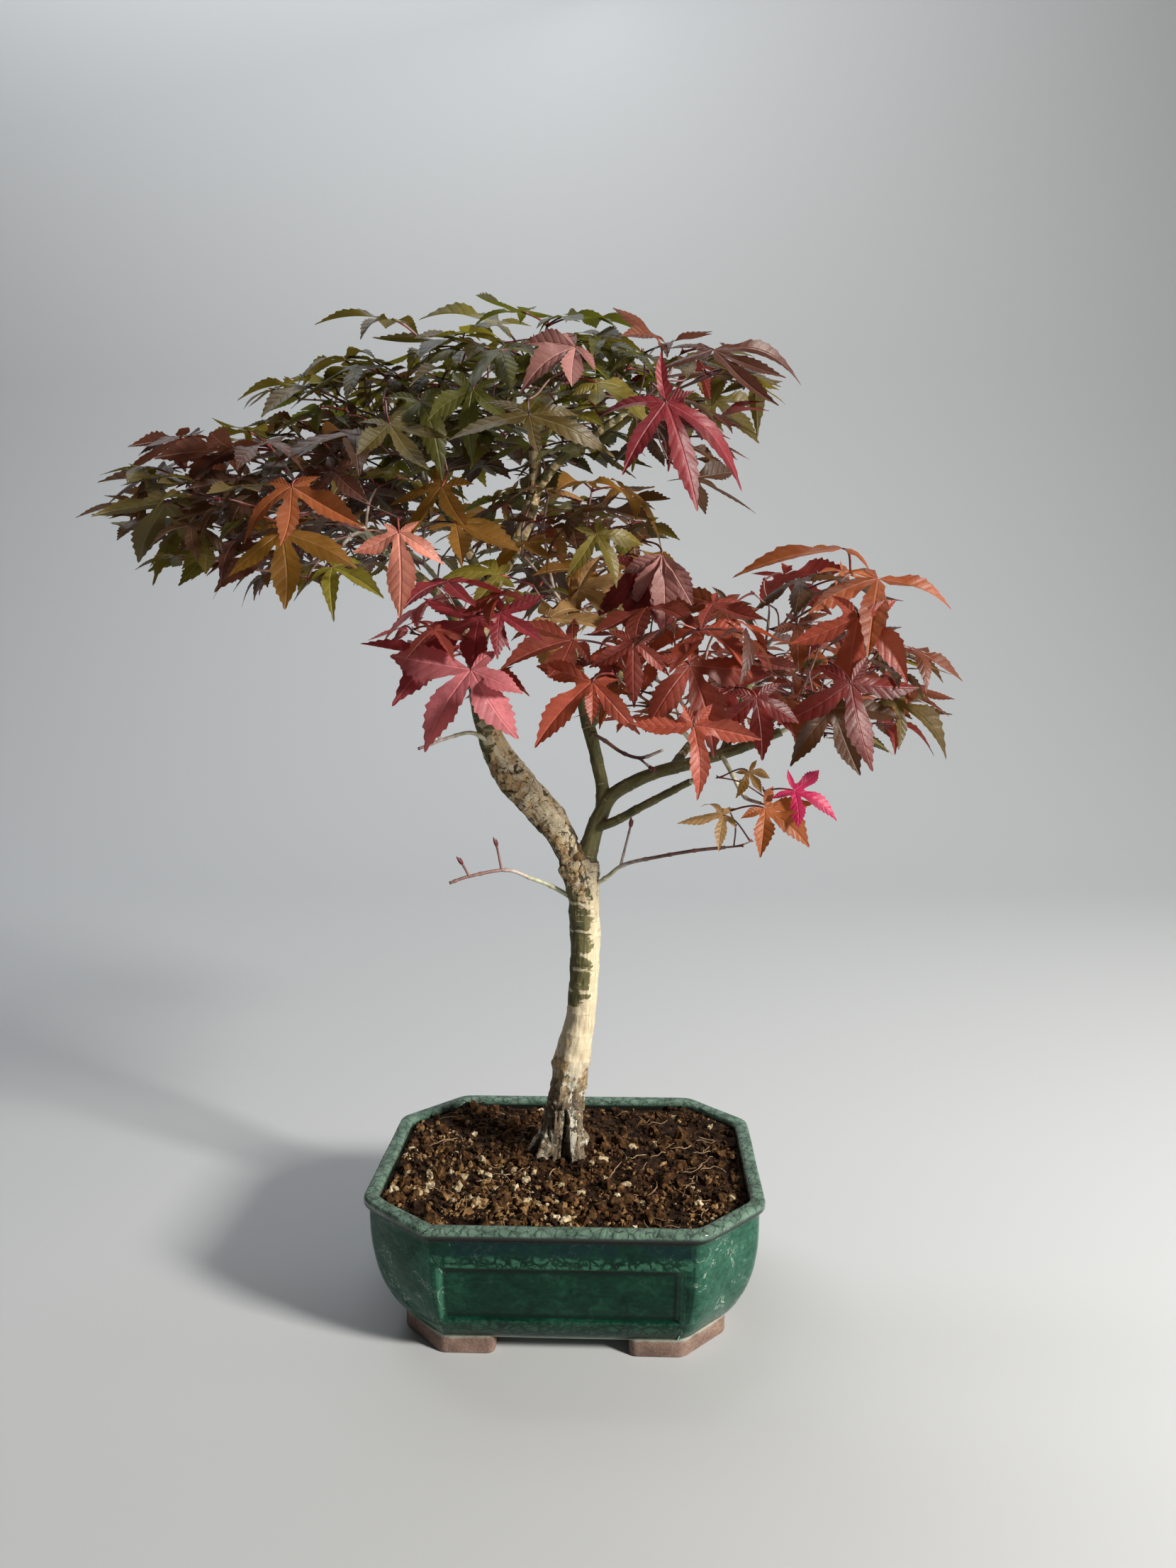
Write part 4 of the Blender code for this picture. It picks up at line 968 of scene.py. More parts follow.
# %% The limbs' middle lines
TRUNK = ((-5, 16, 64, 12), (-4, 16, 78, 10.2), (-1, 15.5, 96, 9.3), (1.5, 15, 113, 9.6),
         (6, 14, 136, 7.7), (8.5, 12, 169, 7.5), (8.5, 10, 197, 8.1), (6.5, 9, 214, 9.3),
         (7, 8.5, 223, 6.2))
TRUNK_SIDES = 14
LIMBS = (
    ("leader_lower", 10, (5, 9, 214), 6.6, ((-4.5, 9, 233, 6.6), (-15.5, 9.5, 247, 6.7),
     (-28, 9.5, 262, 6.6), (-37, 8, 280, 6), (-41.5, 6.5, 298, 5.3), (-43, 5, 317, 4.8))),
    ("leader_upper", 8, (-43, 5, 313), 4.7, ((-40.5, 5, 334, 4.4), (-34, 8, 356, 4.2),
     (-21, 10.5, 379, 4), (-14.5, 12.5, 400, 3.4), (-14, 14, 421, 2.6))),
    ("right_bough", 8, (9, 7.5, 218), 5.2, ((13, 6, 231, 4.5), (17.5, 3.5, 243, 4), (24, 1.5, 253, 3.5),
     (42, -2, 263, 3.2), (61, -5, 268.5, 3), (84, -8, 276, 2.6), (103, -10, 284, 2.2))),
    ("upright_bough", 8, (18, 3.5, 243), 3.5, ((18, 4.5, 256, 3.3), (14.5, 7, 273, 3.2),
     (10, 10, 291, 3.3), (7, 14, 310, 2.7), (3, 16, 330, 2.3))),
    ("low_bough", 7, (15, 4, 236), 2.6, ((24, -3, 240, 2.3), (37, -10, 248, 2.1), (51, -17, 256.5, 1.9),
     (60, -24, 262, 1.7))),
    ("left_bough", 7, (-42, 5, 322), 3.4, ((-51, 1, 335, 2.9), (-60, -4, 350, 2.6),
     (-76, -7, 364, 2.2))),
    ("upper_left_bough", 7, (-36, 7, 350), 3, ((-46, 14, 368, 2.6), (-56, 20, 386, 2.3),
     (-66, 24, 401, 1.9))),
    ("top_right_bough", 7, (-15, 12.5, 398), 2.7, ((-3, 7, 411, 2.4), (13, 2, 422, 2.1),
     (28, -2, 431, 1.8))),
    ("front_bough", 6, (-41, 6, 300), 2.6, ((-41, -6, 305, 2.1), (-40, -17, 311, 1.9),
     (-38, -28, 315, 1.6))),
    ("rise_bough", 6, (76, -7, 273), 2.4, ((82, 0, 287, 2.1), (88, 5, 302, 1.9), (94, 6, 317, 1.6))),
    ("back_bough", 7, (11, 9, 285), 2.8, ((16, 26, 291, 2.5), (22, 44, 301, 2.3), (27, 60, 311, 2))),
    ("back_left_bough", 7, (-41, 5, 326), 2.8, ((-46, 22, 333, 2.5), (-54, 40, 342, 2.2),
     (-62, 56, 350, 1.8))),
    ("back_right_bough", 6, (52, -3, 266), 2.5, ((60, 14, 274, 2.2), (72, 32, 284, 1.9),
     (84, 46, 294, 1.7))),
    ("right_twig", 5, (10, 9, 203), 1.5, ((20, 3, 211, 1.25), (29, -2, 218.5, 1.15),
     (46, -10, 224, 1.05), (63, -18, 228.5, 1), (76, -24, 231, 0.95))),
    ("left_twig", 5, (3, 9, 199), 1.6, ((-8, 6, 206, 1.25), (-17, 2, 210.5, 1.15), (-29, -4, 216, 1.05),
     (-46, -12, 214.5, 0.95), (-55, -16, 212, 0.85))),
    ("left_upper_twig", 5, (-34, 8, 274), 1.6, ((-44, -1, 283, 1.2), (-55, -8, 281.5, 1.05),
     (-68, -18, 277, 0.85))),
    ("inner_twig", 5, (12, 9, 282), 1.5, ((19, 0, 279.5, 1.15), (28, -7, 274, 1.05),
     (37, -13, 272, 0.95), (47, -18, 276, 0.8))),
    ("lower_spray_twig", 5, (75, -7.5, 273.5), 1.5, ((80, -14, 264, 1.2), (85, -20, 254.5, 1.1),
     (92, -26, 252, 0.95))),
)
TWIG_NAMES = [row[0] for row in LIMBS if row[0].endswith("twig")]


def curve_through(points, steps):
    """A smooth curve through points that carry a radius as a fourth number."""
    ends = [2 * points[0] - points[1], *points, 2 * points[-1] - points[-2]]
    line = []
    for a, b, c, d in zip(ends, ends[1:], ends[2:], ends[3:]):
        for k in range(steps):
            t = k / steps
            line.append(0.5 * (2 * b + (c - a) * t + (2 * a - 5 * b + 4 * c - d) * t * t
                               + (3 * b - a - 3 * c + d) * t ** 3))
    line.append(points[-1].copy())
    return line


def limb_line(row, steps):
    _, _, start, radius, rest = row
    return curve_through([Vector((*start, radius)), *(Vector(p) for p in rest)], steps)


print(len(LIMBS), "limbs,", len(TWIG_NAMES), "of them thin twigs")

# %% [markdown]
# A limb is a disc that is extruded from point to point. At each one it is turned to face
# the way ahead and sized to the radius there. The way across is carried along the line,
# so that the disc never spins about it.

# %% A disc swept along a line
def courses(line):
    """Each row of a limb's line with the way ahead there and a steady way across."""
    across = (line[1] - line[0]).xyz.orthogonal()
    for i, row in enumerate(line):
        ahead = (line[min(i + 1, len(line) - 1)] - line[max(i - 1, 0)]).xyz.normalized()
        across = (across - ahead * across.dot(ahead)).normalized()
        yield row, ahead, across


def sweep(shape, line, sides):
    """A closed limb: a disc at the first point, extruded through the others."""
    ring, edges = disc(shape, sides)
    before = Matrix.Identity(4)
    for number, (row, ahead, across) in enumerate(courses(line)):
        if number:
            ring, edges = extrude_ring(shape, edges)
        turn = Matrix((across, ahead.cross(across), ahead)).transposed().to_4x4()
        stand = Matrix.Translation(row.xyz) @ turn @ Matrix.Scale(row.w, 4)
        bmesh.ops.transform(shape, matrix=stand @ before.inverted(), verts=ring)
        before = stand
    bmesh.ops.contextual_create(shape, geom=edges)


# %% [markdown]
# ## The bark
# An old trunk is never a clean pipe: it flares into roots, keeps a groove between them,
# swells at healed cuts and cracks where it forks. Sculpting by hand would do it, but a
# rule can be run again. The sweeps are melted into one skin by a voxel remesh, then each
# point of the skin is moved in or out by what grows at its height and side. The same
# rule stores how cream, green and cracked the bark is there, for the finish to read.

# %% The thick wood in one skin
VOXEL, THICK_SIDES, SMOOTHINGS = 0.65, 18, 3
ROOTS = (
    ((2, 12, 88, 3.6), (3, 8.5, 77, 3.8), (3.4, 6.5, 69, 3.8), (3.8, 5, 59, 3.2)),
    ((-3.5, 12, 86, 3.4), (-4.6, 9.5, 75, 3.6), (-5.4, 8, 67, 3.6), (-6, 7, 58, 3.2)),
    ((-8, 12.5, 84, 3.2), (-10.5, 9.5, 73, 3.4), (-12.8, 7, 66, 3.2), (-15.5, 5, 58.5, 2.6)),
    ((-10, 17, 78, 3), (-15, 15, 69, 3.2), (-21, 12.5, 63, 2.2), (-27, 10, 59, 1.4)),
    ((-1, 18, 80, 3.2), (4, 20, 71, 3.4), (7.5, 22, 64, 3), (10, 24, 57, 2.4)),
    ((-4, 22, 80, 3.4), (-3, 27, 70, 3.4), (-1, 32, 64, 2.6), (0, 37, 58, 1.8)),
    ((-9, 21, 78, 3), (-14, 26, 68, 3), (-19, 31, 62.5, 2.2), (-23, 35, 58, 1.6)),
)
# healed cuts and burls: place, how far it stands out and how wide it is
KNOBS = (((-9, 12, 111.5), 2.3, 4.2), ((9.5, 10, 112), 1.6, 3.2), ((-0.5, 5.8, 107), 1.3, 3.4),
         ((6.5, 4, 64.5), 1.5, 3), ((-11.5, 5, 69.5), 1.3, 3), ((14.5, 6, 216), 1.6, 4.5),
         ((-3.5, 6, 214), 1.8, 4.4), ((4, 2, 207), 1.2, 4), ((-8, 5, 253), 2.4, 4), ((-3.5, 6, 243.5),
         1.5, 3.4), ((-20, 3, 247), 1.2, 3.6), ((-36, 3, 262), 1.5, 4), ((13, 5, 282), 1.9, 4.2),
         ((1, 2, 196), 0.9, 3), ((-45, 0, 318), 1.4, 4), ((-27, 4, 350), 1.1, 3))
# heights of the pale rings on the young part of the stem
RINGS = (146.5, 151.5, 163, 171, 183, 191.5, 197.5)


def wood_lines():
    rows = [("trunk", curve_through([Vector(p) for p in TRUNK], 6))]
    rows += [(row[0], limb_line(row, 6)) for row in LIMBS if row[0] not in TWIG_NAMES]
    rows += [("root", curve_through([Vector(p) for p in root], 5)) for root in ROOTS]
    return rows


def melted_wood():
    """All the thick limbs and roots as one smooth skin, in millimetres."""
    shape = bmesh.new()
    for _, line in wood_lines():
        sweep(shape, line, THICK_SIDES)
    mesh = mesh_from_shape("wood_parts", shape)
    skin = modified(mesh, "REMESH", {"mode": "VOXEL", "voxel_size": VOXEL * MM})
    shape = bmesh.new()
    shape.from_mesh(skin)
    bmesh.ops.transform(shape, matrix=TO_METRES.inverted(), verts=shape.verts)
    for _ in range(SMOOTHINGS):
        bmesh.ops.smooth_vert(shape, verts=shape.verts, factor=0.5,
                              use_axis_x=True, use_axis_y=True, use_axis_z=True)
    shape.normal_update()
    return shape


wood = melted_wood()
print("wood skin", len(wood.faces), "faces")

# %% [markdown]
# Bark patterns run along a limb, but the skin knows only its points in space. So each
# point is looked up on the limbs' middle lines, and gets the place it would have if its
# limb were straight. Noise at that place is stretched the way the wood grew.

# %% Where a point of the bark lies
LIMB_GAP = 40


class Lie:
    """Finds the limb under a point, and the point's place on it as if it were straight."""

    def __init__(self, rows):
        self.spots = []
        start = 0
        for name, line in rows:
            before = line[0]
            for row, ahead, across in courses(line):
                start += (row - before).xyz.length
                self.spots.append((name, row.xyz, row.w, ahead, across, start))
                before = row
            start += LIMB_GAP
        self.tree = KDTree(len(self.spots))
        for i, spot in enumerate(self.spots):
            self.tree.insert(spot[1], i)
        self.tree.balance()

    def find(self, point):
        near = [(far - self.spots[i][2], i) for _, i, far in self.tree.find_n(point, 7)]
        name, middle, radius, ahead, across, start = self.spots[min(near)[1]]
        away = point - middle
        flat = away - ahead * away.dot(ahead)
        place = Vector((flat.dot(across), flat.dot(ahead.cross(across)), start + away.dot(ahead)))
        return name, radius, place


def fissure(place, wide, tall, seed):
    """1 along a broken net of cracks, 0 on the plates of bark between them."""
    spot = Vector((place.x / wide, place.y / wide, place.z / tall + seed))
    spot += 0.32 * noise.noise_vector(spot * 2.3)
    line = 1 - ease(abs(noise.noise(spot)), 0, 0.13)
    return line * ease(noise.noise(spot * 0.7 + Vector((9, 2, 5))), -0.32, 0.08)


# %% [markdown]
# From the soil up, the stem is dark old bark with lichen, then smooth and cream, then
# green with pale rings, and cracked again at the fork. Each zone starts at a height made
# ragged by noise. On the trunk and the leader the right-hand side, which faces the window,
# gets more cream and the left more green and brown: partly the bark's own patches, partly
# painted light and shade. An image could be projected on it, but that holds for one side.

# %% The zones of the bark
# how cracked, how cream and how green each limb is
PLAIN_LOOK = (0.2, 0.12, 0.7)
LIMB_LOOKS = {"leader_upper": (0.50, 0.36, 0.40), "right_bough": (0.12, -0.05, 1),
              "upright_bough": (0.15, -0.05, 1), "low_bough": (0.10, -0.05, 1)}
# the heights between which one zone turns into the next
FOOT_ENDS, CREAM_STARTS, RINGS_START, FORK_STARTS = (98, 120), (101, 121), (141, 148), (198, 209)
LEADER_PEELS, CLEFT_ENDS = (262, 284), (84, 93)


def bark_at(point, normal, name, radius, place):
    """How far the bark stands out, and how cream, green, dark and old it is."""
    old, cream, green = LIMB_LOOKS.get(name, PLAIN_LOOK)
    z = point.z
    # how far a point faces right, towards the window, with some noise
    side = normal.x + 0.45 * noise.noise(place * 0.16)
    ragged = z + 13 * noise.noise(place * 0.13) + 9 * noise.noise(place * 0.42)
    if name in ("trunk", "root"):
        foot = 1 - ease(ragged, *FOOT_ENDS)
        fork = ease(ragged, *FORK_STARTS)
        pale = ease(ragged, *CREAM_STARTS) * (1 - ease(z, *RINGS_START))
        ringed = ease(z, *RINGS_START) * (1 - fork)
        lichen = ease(noise.noise(place * 0.30 + Vector((3, 0, 0))), -0.05, 0.3)
        spine = math.exp(-((point.x - 1.6) / 1.9) ** 2) * ease(-normal.y, 0, 0.5)
        # more cream on the right and less on the left: partly the bark's own pale patches, partly painted
        # light and shade
        cream = (pale * (0.62 + 0.38 * ease(side, -0.7, 0.2))
                 + fork * (0.36 + 0.34 * ease(side, -0.3, 0.5))
                 + ringed * 1.5 * ease(side, 0.05, 0.95) + foot * (0.50 * lichen + 0.55 * spine))
        for ring in RINGS:
            hoop = (z - ring + 1.3 * noise.noise(place * 0.2)) / 0.75
            cream += ringed * 0.75 * math.exp(-hoop * hoop)
        green = ringed + fork * 0.35 * (1 - ease(side, -0.6, 0))
        old = foot * 0.85 + pale * 0.12 + ringed * 0.12 + fork * 0.95
    elif name == "leader_lower":
        high = ease(z, *LEADER_PEELS)
        # greener on the left and creamier on the right: partly the leader's own colour, partly painted
        # light and shade
        green = 0.8 * (1 - high) * (1 - ease(side, -0.85, -0.45))
        green += high * (1 - ease(side, -0.1, 0.7))
        cream = 0.36 + 0.22 * ease(side, -0.3, 0.4) * (1 - high)
        old = 0.95 - 0.6 * high
    crack = max(fissure(place, 5.2, 8.5, 0), 0.5 * fissure(place, 3.8, 4.6, 40)) * old
    fine = noise.noise(Vector((place.x * 0.9, place.y * 0.9, place.z * 0.22)))
    scale = noise.noise(Vector((place.x * 0.42, place.y * 0.42, place.z * 0.30 + 11)))
    broad = noise.noise(place * 0.13 + Vector((0, 7, 0)))
    out = radius * (0.085 + 0.05 * old) * broad + 0.16 * fine
    out += (0.55 * scale * old - 0.85 * crack) * min(1, radius / 6)
    step = place.z / 13 + 0.8 * noise.noise(Vector((0, 0, place.z * 0.03)))
    out += 0.24 * max(0, math.cos(step * math.tau)) ** 14 * (1 - 0.7 * old)
    if name in ("trunk", "root") and z < 118:
        line = -2.6 + 0.7 * math.sin(z / 6)
        cleft = math.exp(-((point.x - line) / 1.25) ** 2) * ease(-normal.y, 0, 0.6)
        cleft *= 1 - ease(z, *CLEFT_ENDS)
        ridge = noise.noise(Vector((place.x * 0.42, place.y * 0.42, place.z * 0.05 + 4)))
        out += -2.4 * cleft + 1.8 * ridge * (1 - ease(z, 88, 122))
        # the groove between the roots is painted near-black as well, as painted shade in it
        crack = min(1, crack + cleft * 0.95)
    if name == "leader_lower":
        swelling = 1.5 + 0.9 * ease(normal.x, -0.2, 0.6)
        out += swelling * ease(z, 226, 241) * (1 - high)
    for middle, height, width in KNOBS:
        far = (point - Vector(middle)).length / width
        if far < 2:
            out += height * (math.exp(-far * far * 2) - 0.50 * math.exp(-far * far * 18))
            crack = min(1, crack + 0.6 * math.exp(-((far - 0.28) * 9) ** 2))
            old = max(old, 0.9 * math.exp(-far * far * 1.5))
    return out, (cream, green, crack, old)


# %% [markdown]
# The zones and the relief are worked out once for each point. Moving the points first
# and asking afterwards would change the answers, so all are asked before any is moved.

# %% Raising the bark
BARK_LOOKS = ("bark_cream", "bark_green", "bark_crack", "bark_old")


def raise_bark(shape):
    """The skin with its relief, and what the finish reads stored on each point."""
    lie = Lie(wood_lines())
    moved, looks, places = [], [], []
    for v in shape.verts:
        name, radius, place = lie.find(v.co)
        out, look = bark_at(v.co, v.normal, name, radius, place)
        moved.append(v.co + v.normal * out)
        looks.append(look)
        places.append(place)
    for v, point in zip(shape.verts, moved):
        v.co = point
    mesh = mesh_from_shape("trunk_and_boughs", shape)
    layer = mesh.attributes.new("bark_lie", "FLOAT_VECTOR", "POINT")
    layer.data.foreach_set("vector", np.array(places, np.float32).ravel())
    for name, values in zip(BARK_LOOKS, zip(*looks)):
        store(mesh, name, values)
    return mesh


bark_mesh = raise_bark(wood)
print("bark", len(bark_mesh.polygons), "faces")

# %% [markdown]
# The finish lays old brown, then green, then cream over each other. The edge between two
# of them runs along flakes, which are cells with a number each, so that it looks torn
# and not painted. Cracks, rings and leaf scars come last, and the near-black in the cracks
# is partly the inner bark's own colour and partly painted shade.

# %% Bark finish
CREAM, TAN_BARK, GREY_BARK = (0.62, 0.53, 0.365), (0.42, 0.270, 0.122), (0.115, 0.088, 0.060)
BROWN_BARK, HONEY_BARK = (0.180, 0.098, 0.042), (0.62, 0.45, 0.235)
OLIVE_BARK, DARK_OLIVE = (0.125, 0.112, 0.038), (0.050, 0.049, 0.016)
# the near-black of the cracks is partly painted shade
LICHEN, FISSURE_AND_SHADE, PALE_RING = (0.50, 0.49, 0.41), (0.016, 0.010, 0.006), (0.50, 0.44, 0.28)


def bark():
    finish = Finish("flaking_maple_bark")
    lie = finish.node("ShaderNodeAttribute", {"attribute_name": "bark_lie"}, out="Vector")
    cream, green, crack, age = (finish.carried(n) for n in BARK_LOOKS)

    def along(size, stretch, detail=3, rough=0.6):
        return finish.noise(finish.stretched(lie, stretch), size, detail, rough)

    def flakes(size, stretch):
        """A number of its own for each flake of bark, and the line round the flake."""
        where = finish.stretched(lie, stretch)
        bent = finish.node("ShaderNodeTexNoise", {}, {"Vector": where, "Scale": 1.6 / size}, out=1)
        moved = finish.node("ShaderNodeVectorMath", {"operation": "ADD"}, {
            0: where, 1: finish.scaled(bent, size * 0.9)})
        spot = {"Vector": moved, "Scale": 1 / size}
        own = finish.node("ShaderNodeTexVoronoi", {}, spot, out="Color")
        edge = finish.node("ShaderNodeTexVoronoi", {"feature": "DISTANCE_TO_EDGE"}, spot)
        return finish.node("ShaderNodeSeparateXYZ", {}, {0: own}), finish.fall(edge, 0.01, 0.09)

    streak = along(1.2, (1, 1, 0.13), 4)
    hoop = along(1.4, (0.12, 0.12, 1), 2)
    patch = along(6, (1, 1, 0.5), 4, 0.65)
    grit = finish.grain(0.5, 4, 0.7)
    flake, flake_edge = flakes(4.6, (1, 1, 0.80))
    block, block_edge = flakes(2.8, (0.50, 0.50, 1))
    old = finish.ramp(streak * 0.20 + flake * 0.32 + patch * 0.28 + grit * 0.20, (
        (0.32, BROWN_BARK), (0.45, TAN_BARK), (0.60, HONEY_BARK)))
    low = finish.fall(finish.axis(2) + (patch - 0.5) * 34, 92, 120)
    old = finish.mix(low * 0.8, old, finish.ramp(streak * 0.35 + grit * 0.30 + patch * 0.35, (
        (0.36, (0.060, 0.048, 0.038)), (0.52, GREY_BARK), (0.66, LICHEN))))
    young = finish.ramp(patch * 0.45 + streak * 0.55, (
        (0.38, DARK_OLIVE), (0.52, OLIVE_BARK), (0.68, (0.19, 0.16, 0.065))))
    banded = finish.rise(green, 0.1, 0.6) * (1 - age)
    jag = (patch - 0.5) * 0.7 + (block - 0.5) * (0.40 + banded * 0.55) + (streak - 0.5) * 0.25
    pale = finish.ramp(streak * 0.75 + grit * 0.25, (
        (0.34, (0.38, 0.29, 0.18)), (0.46, (0.55, 0.45, 0.295)), (0.55, CREAM),
        (0.72, (0.76, 0.68, 0.50))))
    pale = finish.mix(low * 0.75, pale, LICHEN)
    outline = block_edge * banded * finish.rise(cream + jag * 0.5, 0.12, 0.40)
    smooth = 1 - age
    rings = finish.rise(hoop, 0.65, 0.70) * finish.rise(green, 0.1, 0.6) * smooth
    scars = finish.rise(1 - hoop, 0.64, 0.70) * smooth
    seam = finish.fall(abs(along(3, (1, 1, 0.6)) - 0.5), 0.004, 0.026)
    seam = seam * finish.rise(age, 0.35, 0.9)
    lifted = flake_edge * finish.rise(age, 0.3, 0.9) * finish.rise(patch, 0.32, 0.50)
    # near-black on cracks, seams and lifted flake edges: partly the inner bark's own colour, partly
    # painted shade in the hollows
    dark = finish.rise(crack + (streak - 0.5) * 0.6 + seam * 0.40 + lifted * 0.62, 0.44, 0.95)
    colour = finish.coats(old, (
        (finish.rise(green - jag, 0.40, 0.52), young),
        (finish.rise(cream + jag, 0.42, 0.54), pale),
        (outline * 0.75, PALE_RING),
        (rings * 0.8, (0.46, 0.40, 0.24)),
        (scars * 0.35, (0.060, 0.040, 0.024)),
        (dark * 0.9, FISSURE_AND_SHADE)))
    height = streak * 0.6 + grit * 0.45 + rings * 0.25 + flake * age * 1.3 - seam * 0.5 - dark * 0.5
    return finish.show(colour, 0.60 + grit * 0.25, height, 0.50)


add_piece("trunk_and_boughs", bark_mesh, bark(), "trunk_bark",
          ["trunk"] + [row[0] for row in LIMBS if row[0] not in TWIG_NAMES])

# %% [markdown]
# ## Thin twigs
# Maple twigs are smooth, ringed at each joint and redder towards the tip. Each is a disc
# swept like the boughs, but with fewer sides and a swelling at every joint. How young
# the wood is gets stored along the twig.

# %% Bare twigs
SPURS = (
    ((-31, -5, 216), (-33, -8, 229)), ((-46, -12, 214.5), (-49, -15, 221.5)),
    ((27, -1, 217.5), (32, -4, 238)), ((36, -12.5, 272), (41, -16, 268)),
    ((-58, -10, 280.5), (-63, -13, 285)),
)
TWIG_SIDES, TWIG_JOINTS, SPUR_JOINTS = 8, 13, 6
TWIG_STEP = 0.9


def jointed(line, gap):
    """A line with a finer step and a swelling about every joint."""
    fine, run = [], 0
    for a, b in zip(line, line[1:]):
        long = (b - a).xyz.length
        count = max(1, round(long / TWIG_STEP))
        for k in range(count):
            row = a.lerp(b, k / count)
            row.w *= 0.86 + 0.30 * max(0, math.cos(math.tau * run / gap)) ** 16
            fine.append(row)
            run += long / count
    return [*fine, line[-1].copy()]


def bare_twigs():
    """The twigs without leaves, and how young the wood is along them."""
    shape = bmesh.new()
    twigs = [row for row in LIMBS if row[0] in TWIG_NAMES]
    for row in twigs:
        sweep(shape, jointed(limb_line(row, 6), TWIG_JOINTS), TWIG_SIDES)
    for foot, tip in SPURS:
        foot, tip = Vector(foot), Vector(tip)
        rows = [Vector((*foot.lerp(tip, t), r)) for t, r in ((0, 0.90), (0.5, 0.70), (1, 0.66))]
        sweep(shape, jointed(curve_through(rows, 3), SPUR_JOINTS), TWIG_SIDES)
    mesh = mesh_from_shape("bare_twigs", shape)
    # the inner twig is made dark from its foot on
    feet = [(Vector(row[2]), 0.9 * (row[0] == "inner_twig")) for row in twigs]
    young = []
    for v in mesh.vertices:
        point = (v.co - MIDDLE) / MM
        away, dark = min(((point - foot).length, dark) for foot, dark in feet)
        young.append(ease(away, 8, 48) + dark)
    store(mesh, "young", young)
    return mesh


# %% [markdown]
# Young wood is coloured by its age: green by the bough, then grey, then red. The stored
# number picks between them, and a patchy noise keeps the turns uneven. A number above
# one, which only the inner twig has, makes it dark.

# %% Young bark finish
def young_bark():
    finish = Finish("young_twig_bark")
    young = finish.carried("young")
    patch = finish.grain(3, 3, 0.6)
    grit = finish.grain(0.45, 3, 0.6)
    green, grey, red = (finish.ramp(patch, ((0.35, dark), (0.62, light))) for dark, light in (
        ((0.34, 0.34, 0.20), (0.64, 0.63, 0.47)),
        ((0.26, 0.20, 0.175), (0.56, 0.48, 0.43)),
        ((0.085, 0.032, 0.028), (0.26, 0.125, 0.105))))
    age = young + (patch - 0.5) * 0.5
    colour = finish.coats(green, (
        (finish.rise(age, 0.28, 0.52), grey),
        (finish.rise(age, 0.66, 1.05), red),
        (finish.rise(grit, 0.62, 0.72) * 0.5, (0.34, 0.28, 0.20)),
        # the inner twig, dark from its foot on
        (finish.rise(young, 1.05, 1.35) * 0.85, (0.040, 0.018, 0.020))))
    return finish.show(colour, 0.42 + grit * 0.2, grit, 0.12)


YOUNG_BARK = young_bark()
add_piece("bare_twigs", bare_twigs(), YOUNG_BARK, "bough_bark", TWIG_NAMES)

# %% [markdown]
# ## The growing rule
# Each mass of leaves grows from the tip of one limb: a stem, twigs that reach for a spot
# with room round it, and up to three leaves on each twig. The rule draws its numbers
# from a seed, so the crown is the same at each run, and it tries every new twig and leaf
# against what already stands, so nothing passes through its neighbour.

# %% Test shapes for the rule
# millimetres left between a stem and its limb, and a solid leaf's thickness
GAP, LEAF_THICK = 0.3, 1.3
LOBES = ((-100, 0.60), (-48, 0.90), (0, 1), (48, 0.90), (100, 0.60))
SHOULDER_AT, SHOULDER_HALF, SINUS = 0.50, 0.135, 0.20


def tube(line, radii, sides):
    """Points and faces of a closed tapering sweep, for a touch test."""
    verts, faces = [], []
    across = (line[1] - line[0]).normalized().orthogonal().normalized()
    for i, (point, radius) in enumerate(zip(line, radii)):
        ahead = line[min(i + 1, len(line) - 1)] - line[max(i - 1, 0)]
        ahead.normalize()
        across = (across - ahead * across.dot(ahead)).normalized()
        other = ahead.cross(across)
        for k in range(sides):
            turn = math.tau * k / sides
            out = across * math.cos(turn) + other * math.sin(turn)
            verts.append(point + out * radius)
    for i in range(len(line) - 1):
        for k in range(sides):
            a, b = i * sides + k, i * sides + (k + 1) % sides
            faces.append((a, b, b + sides, a + sides))
    faces.append(tuple(range(sides))[::-1])
    faces.append(tuple(range(len(verts) - sides, len(verts))))
    return verts, faces


def leaf_outline(spread):
    """A leaf's outline in leaf lengths, its lobes spread wider or closer."""
    outline = [(-0.05, -0.03)]
    for i, (turn, length) in enumerate(LOBES):
        turn *= spread
        if i:
            middle = math.radians((LOBES[i - 1][0] * spread + turn) / 2)
            outline.append((SINUS * math.cos(middle), SINUS * math.sin(middle)))
        angle = math.radians(turn)
        basal = i in (0, len(LOBES) - 1)
        shape = ((1, 0),) if basal else ((SHOULDER_AT, -1), (1, 0), (SHOULDER_AT, 1))
        for along, aside in shape:
            x = along * length
            y = aside * SHOULDER_HALF
            outline.append((x * math.cos(angle) - y * math.sin(angle),
                            x * math.sin(angle) + y * math.cos(angle)))
    outline.append((-0.05, 0.03))
    return outline


def blade_block(frame, length, droop, spread, extra):
    """A leaf's outline as a thin closed star, for a touch test."""
    verts = []
    for x, y in leaf_outline(spread):
        far = x * x + y * y
        verts.append(Vector((x * (length + extra), y * (length + extra), -droop * far * length)))
    count = len(verts)
    half = LEAF_THICK / 2 + extra
    verts += [Vector((0.05 * length, 0, half)), Vector((0.05 * length, 0, -half))]
    faces = []
    for k in range(count - 1):
        faces.append((k, k + 1, count))
        faces.append((k + 1, k, count + 1))
    faces += [(0, count + 1, count - 1), (count - 1, count, 0)]
    return [frame @ v for v in verts], faces


def leaf_frame(centre, axis, up):
    """The frame of a leaf: its tip along x and its upper side along z."""
    x = axis.normalized()
    z = (up - x * up.dot(x)).normalized()
    y = z.cross(x)
    return Matrix.Translation(centre) @ Matrix((x, y, z)).transposed().to_4x4()

# %% [markdown]
# All that stands is kept in one list. A tree search tells whether two shapes cross, and
# a ball round each shape spares that search for nearly all pairs.

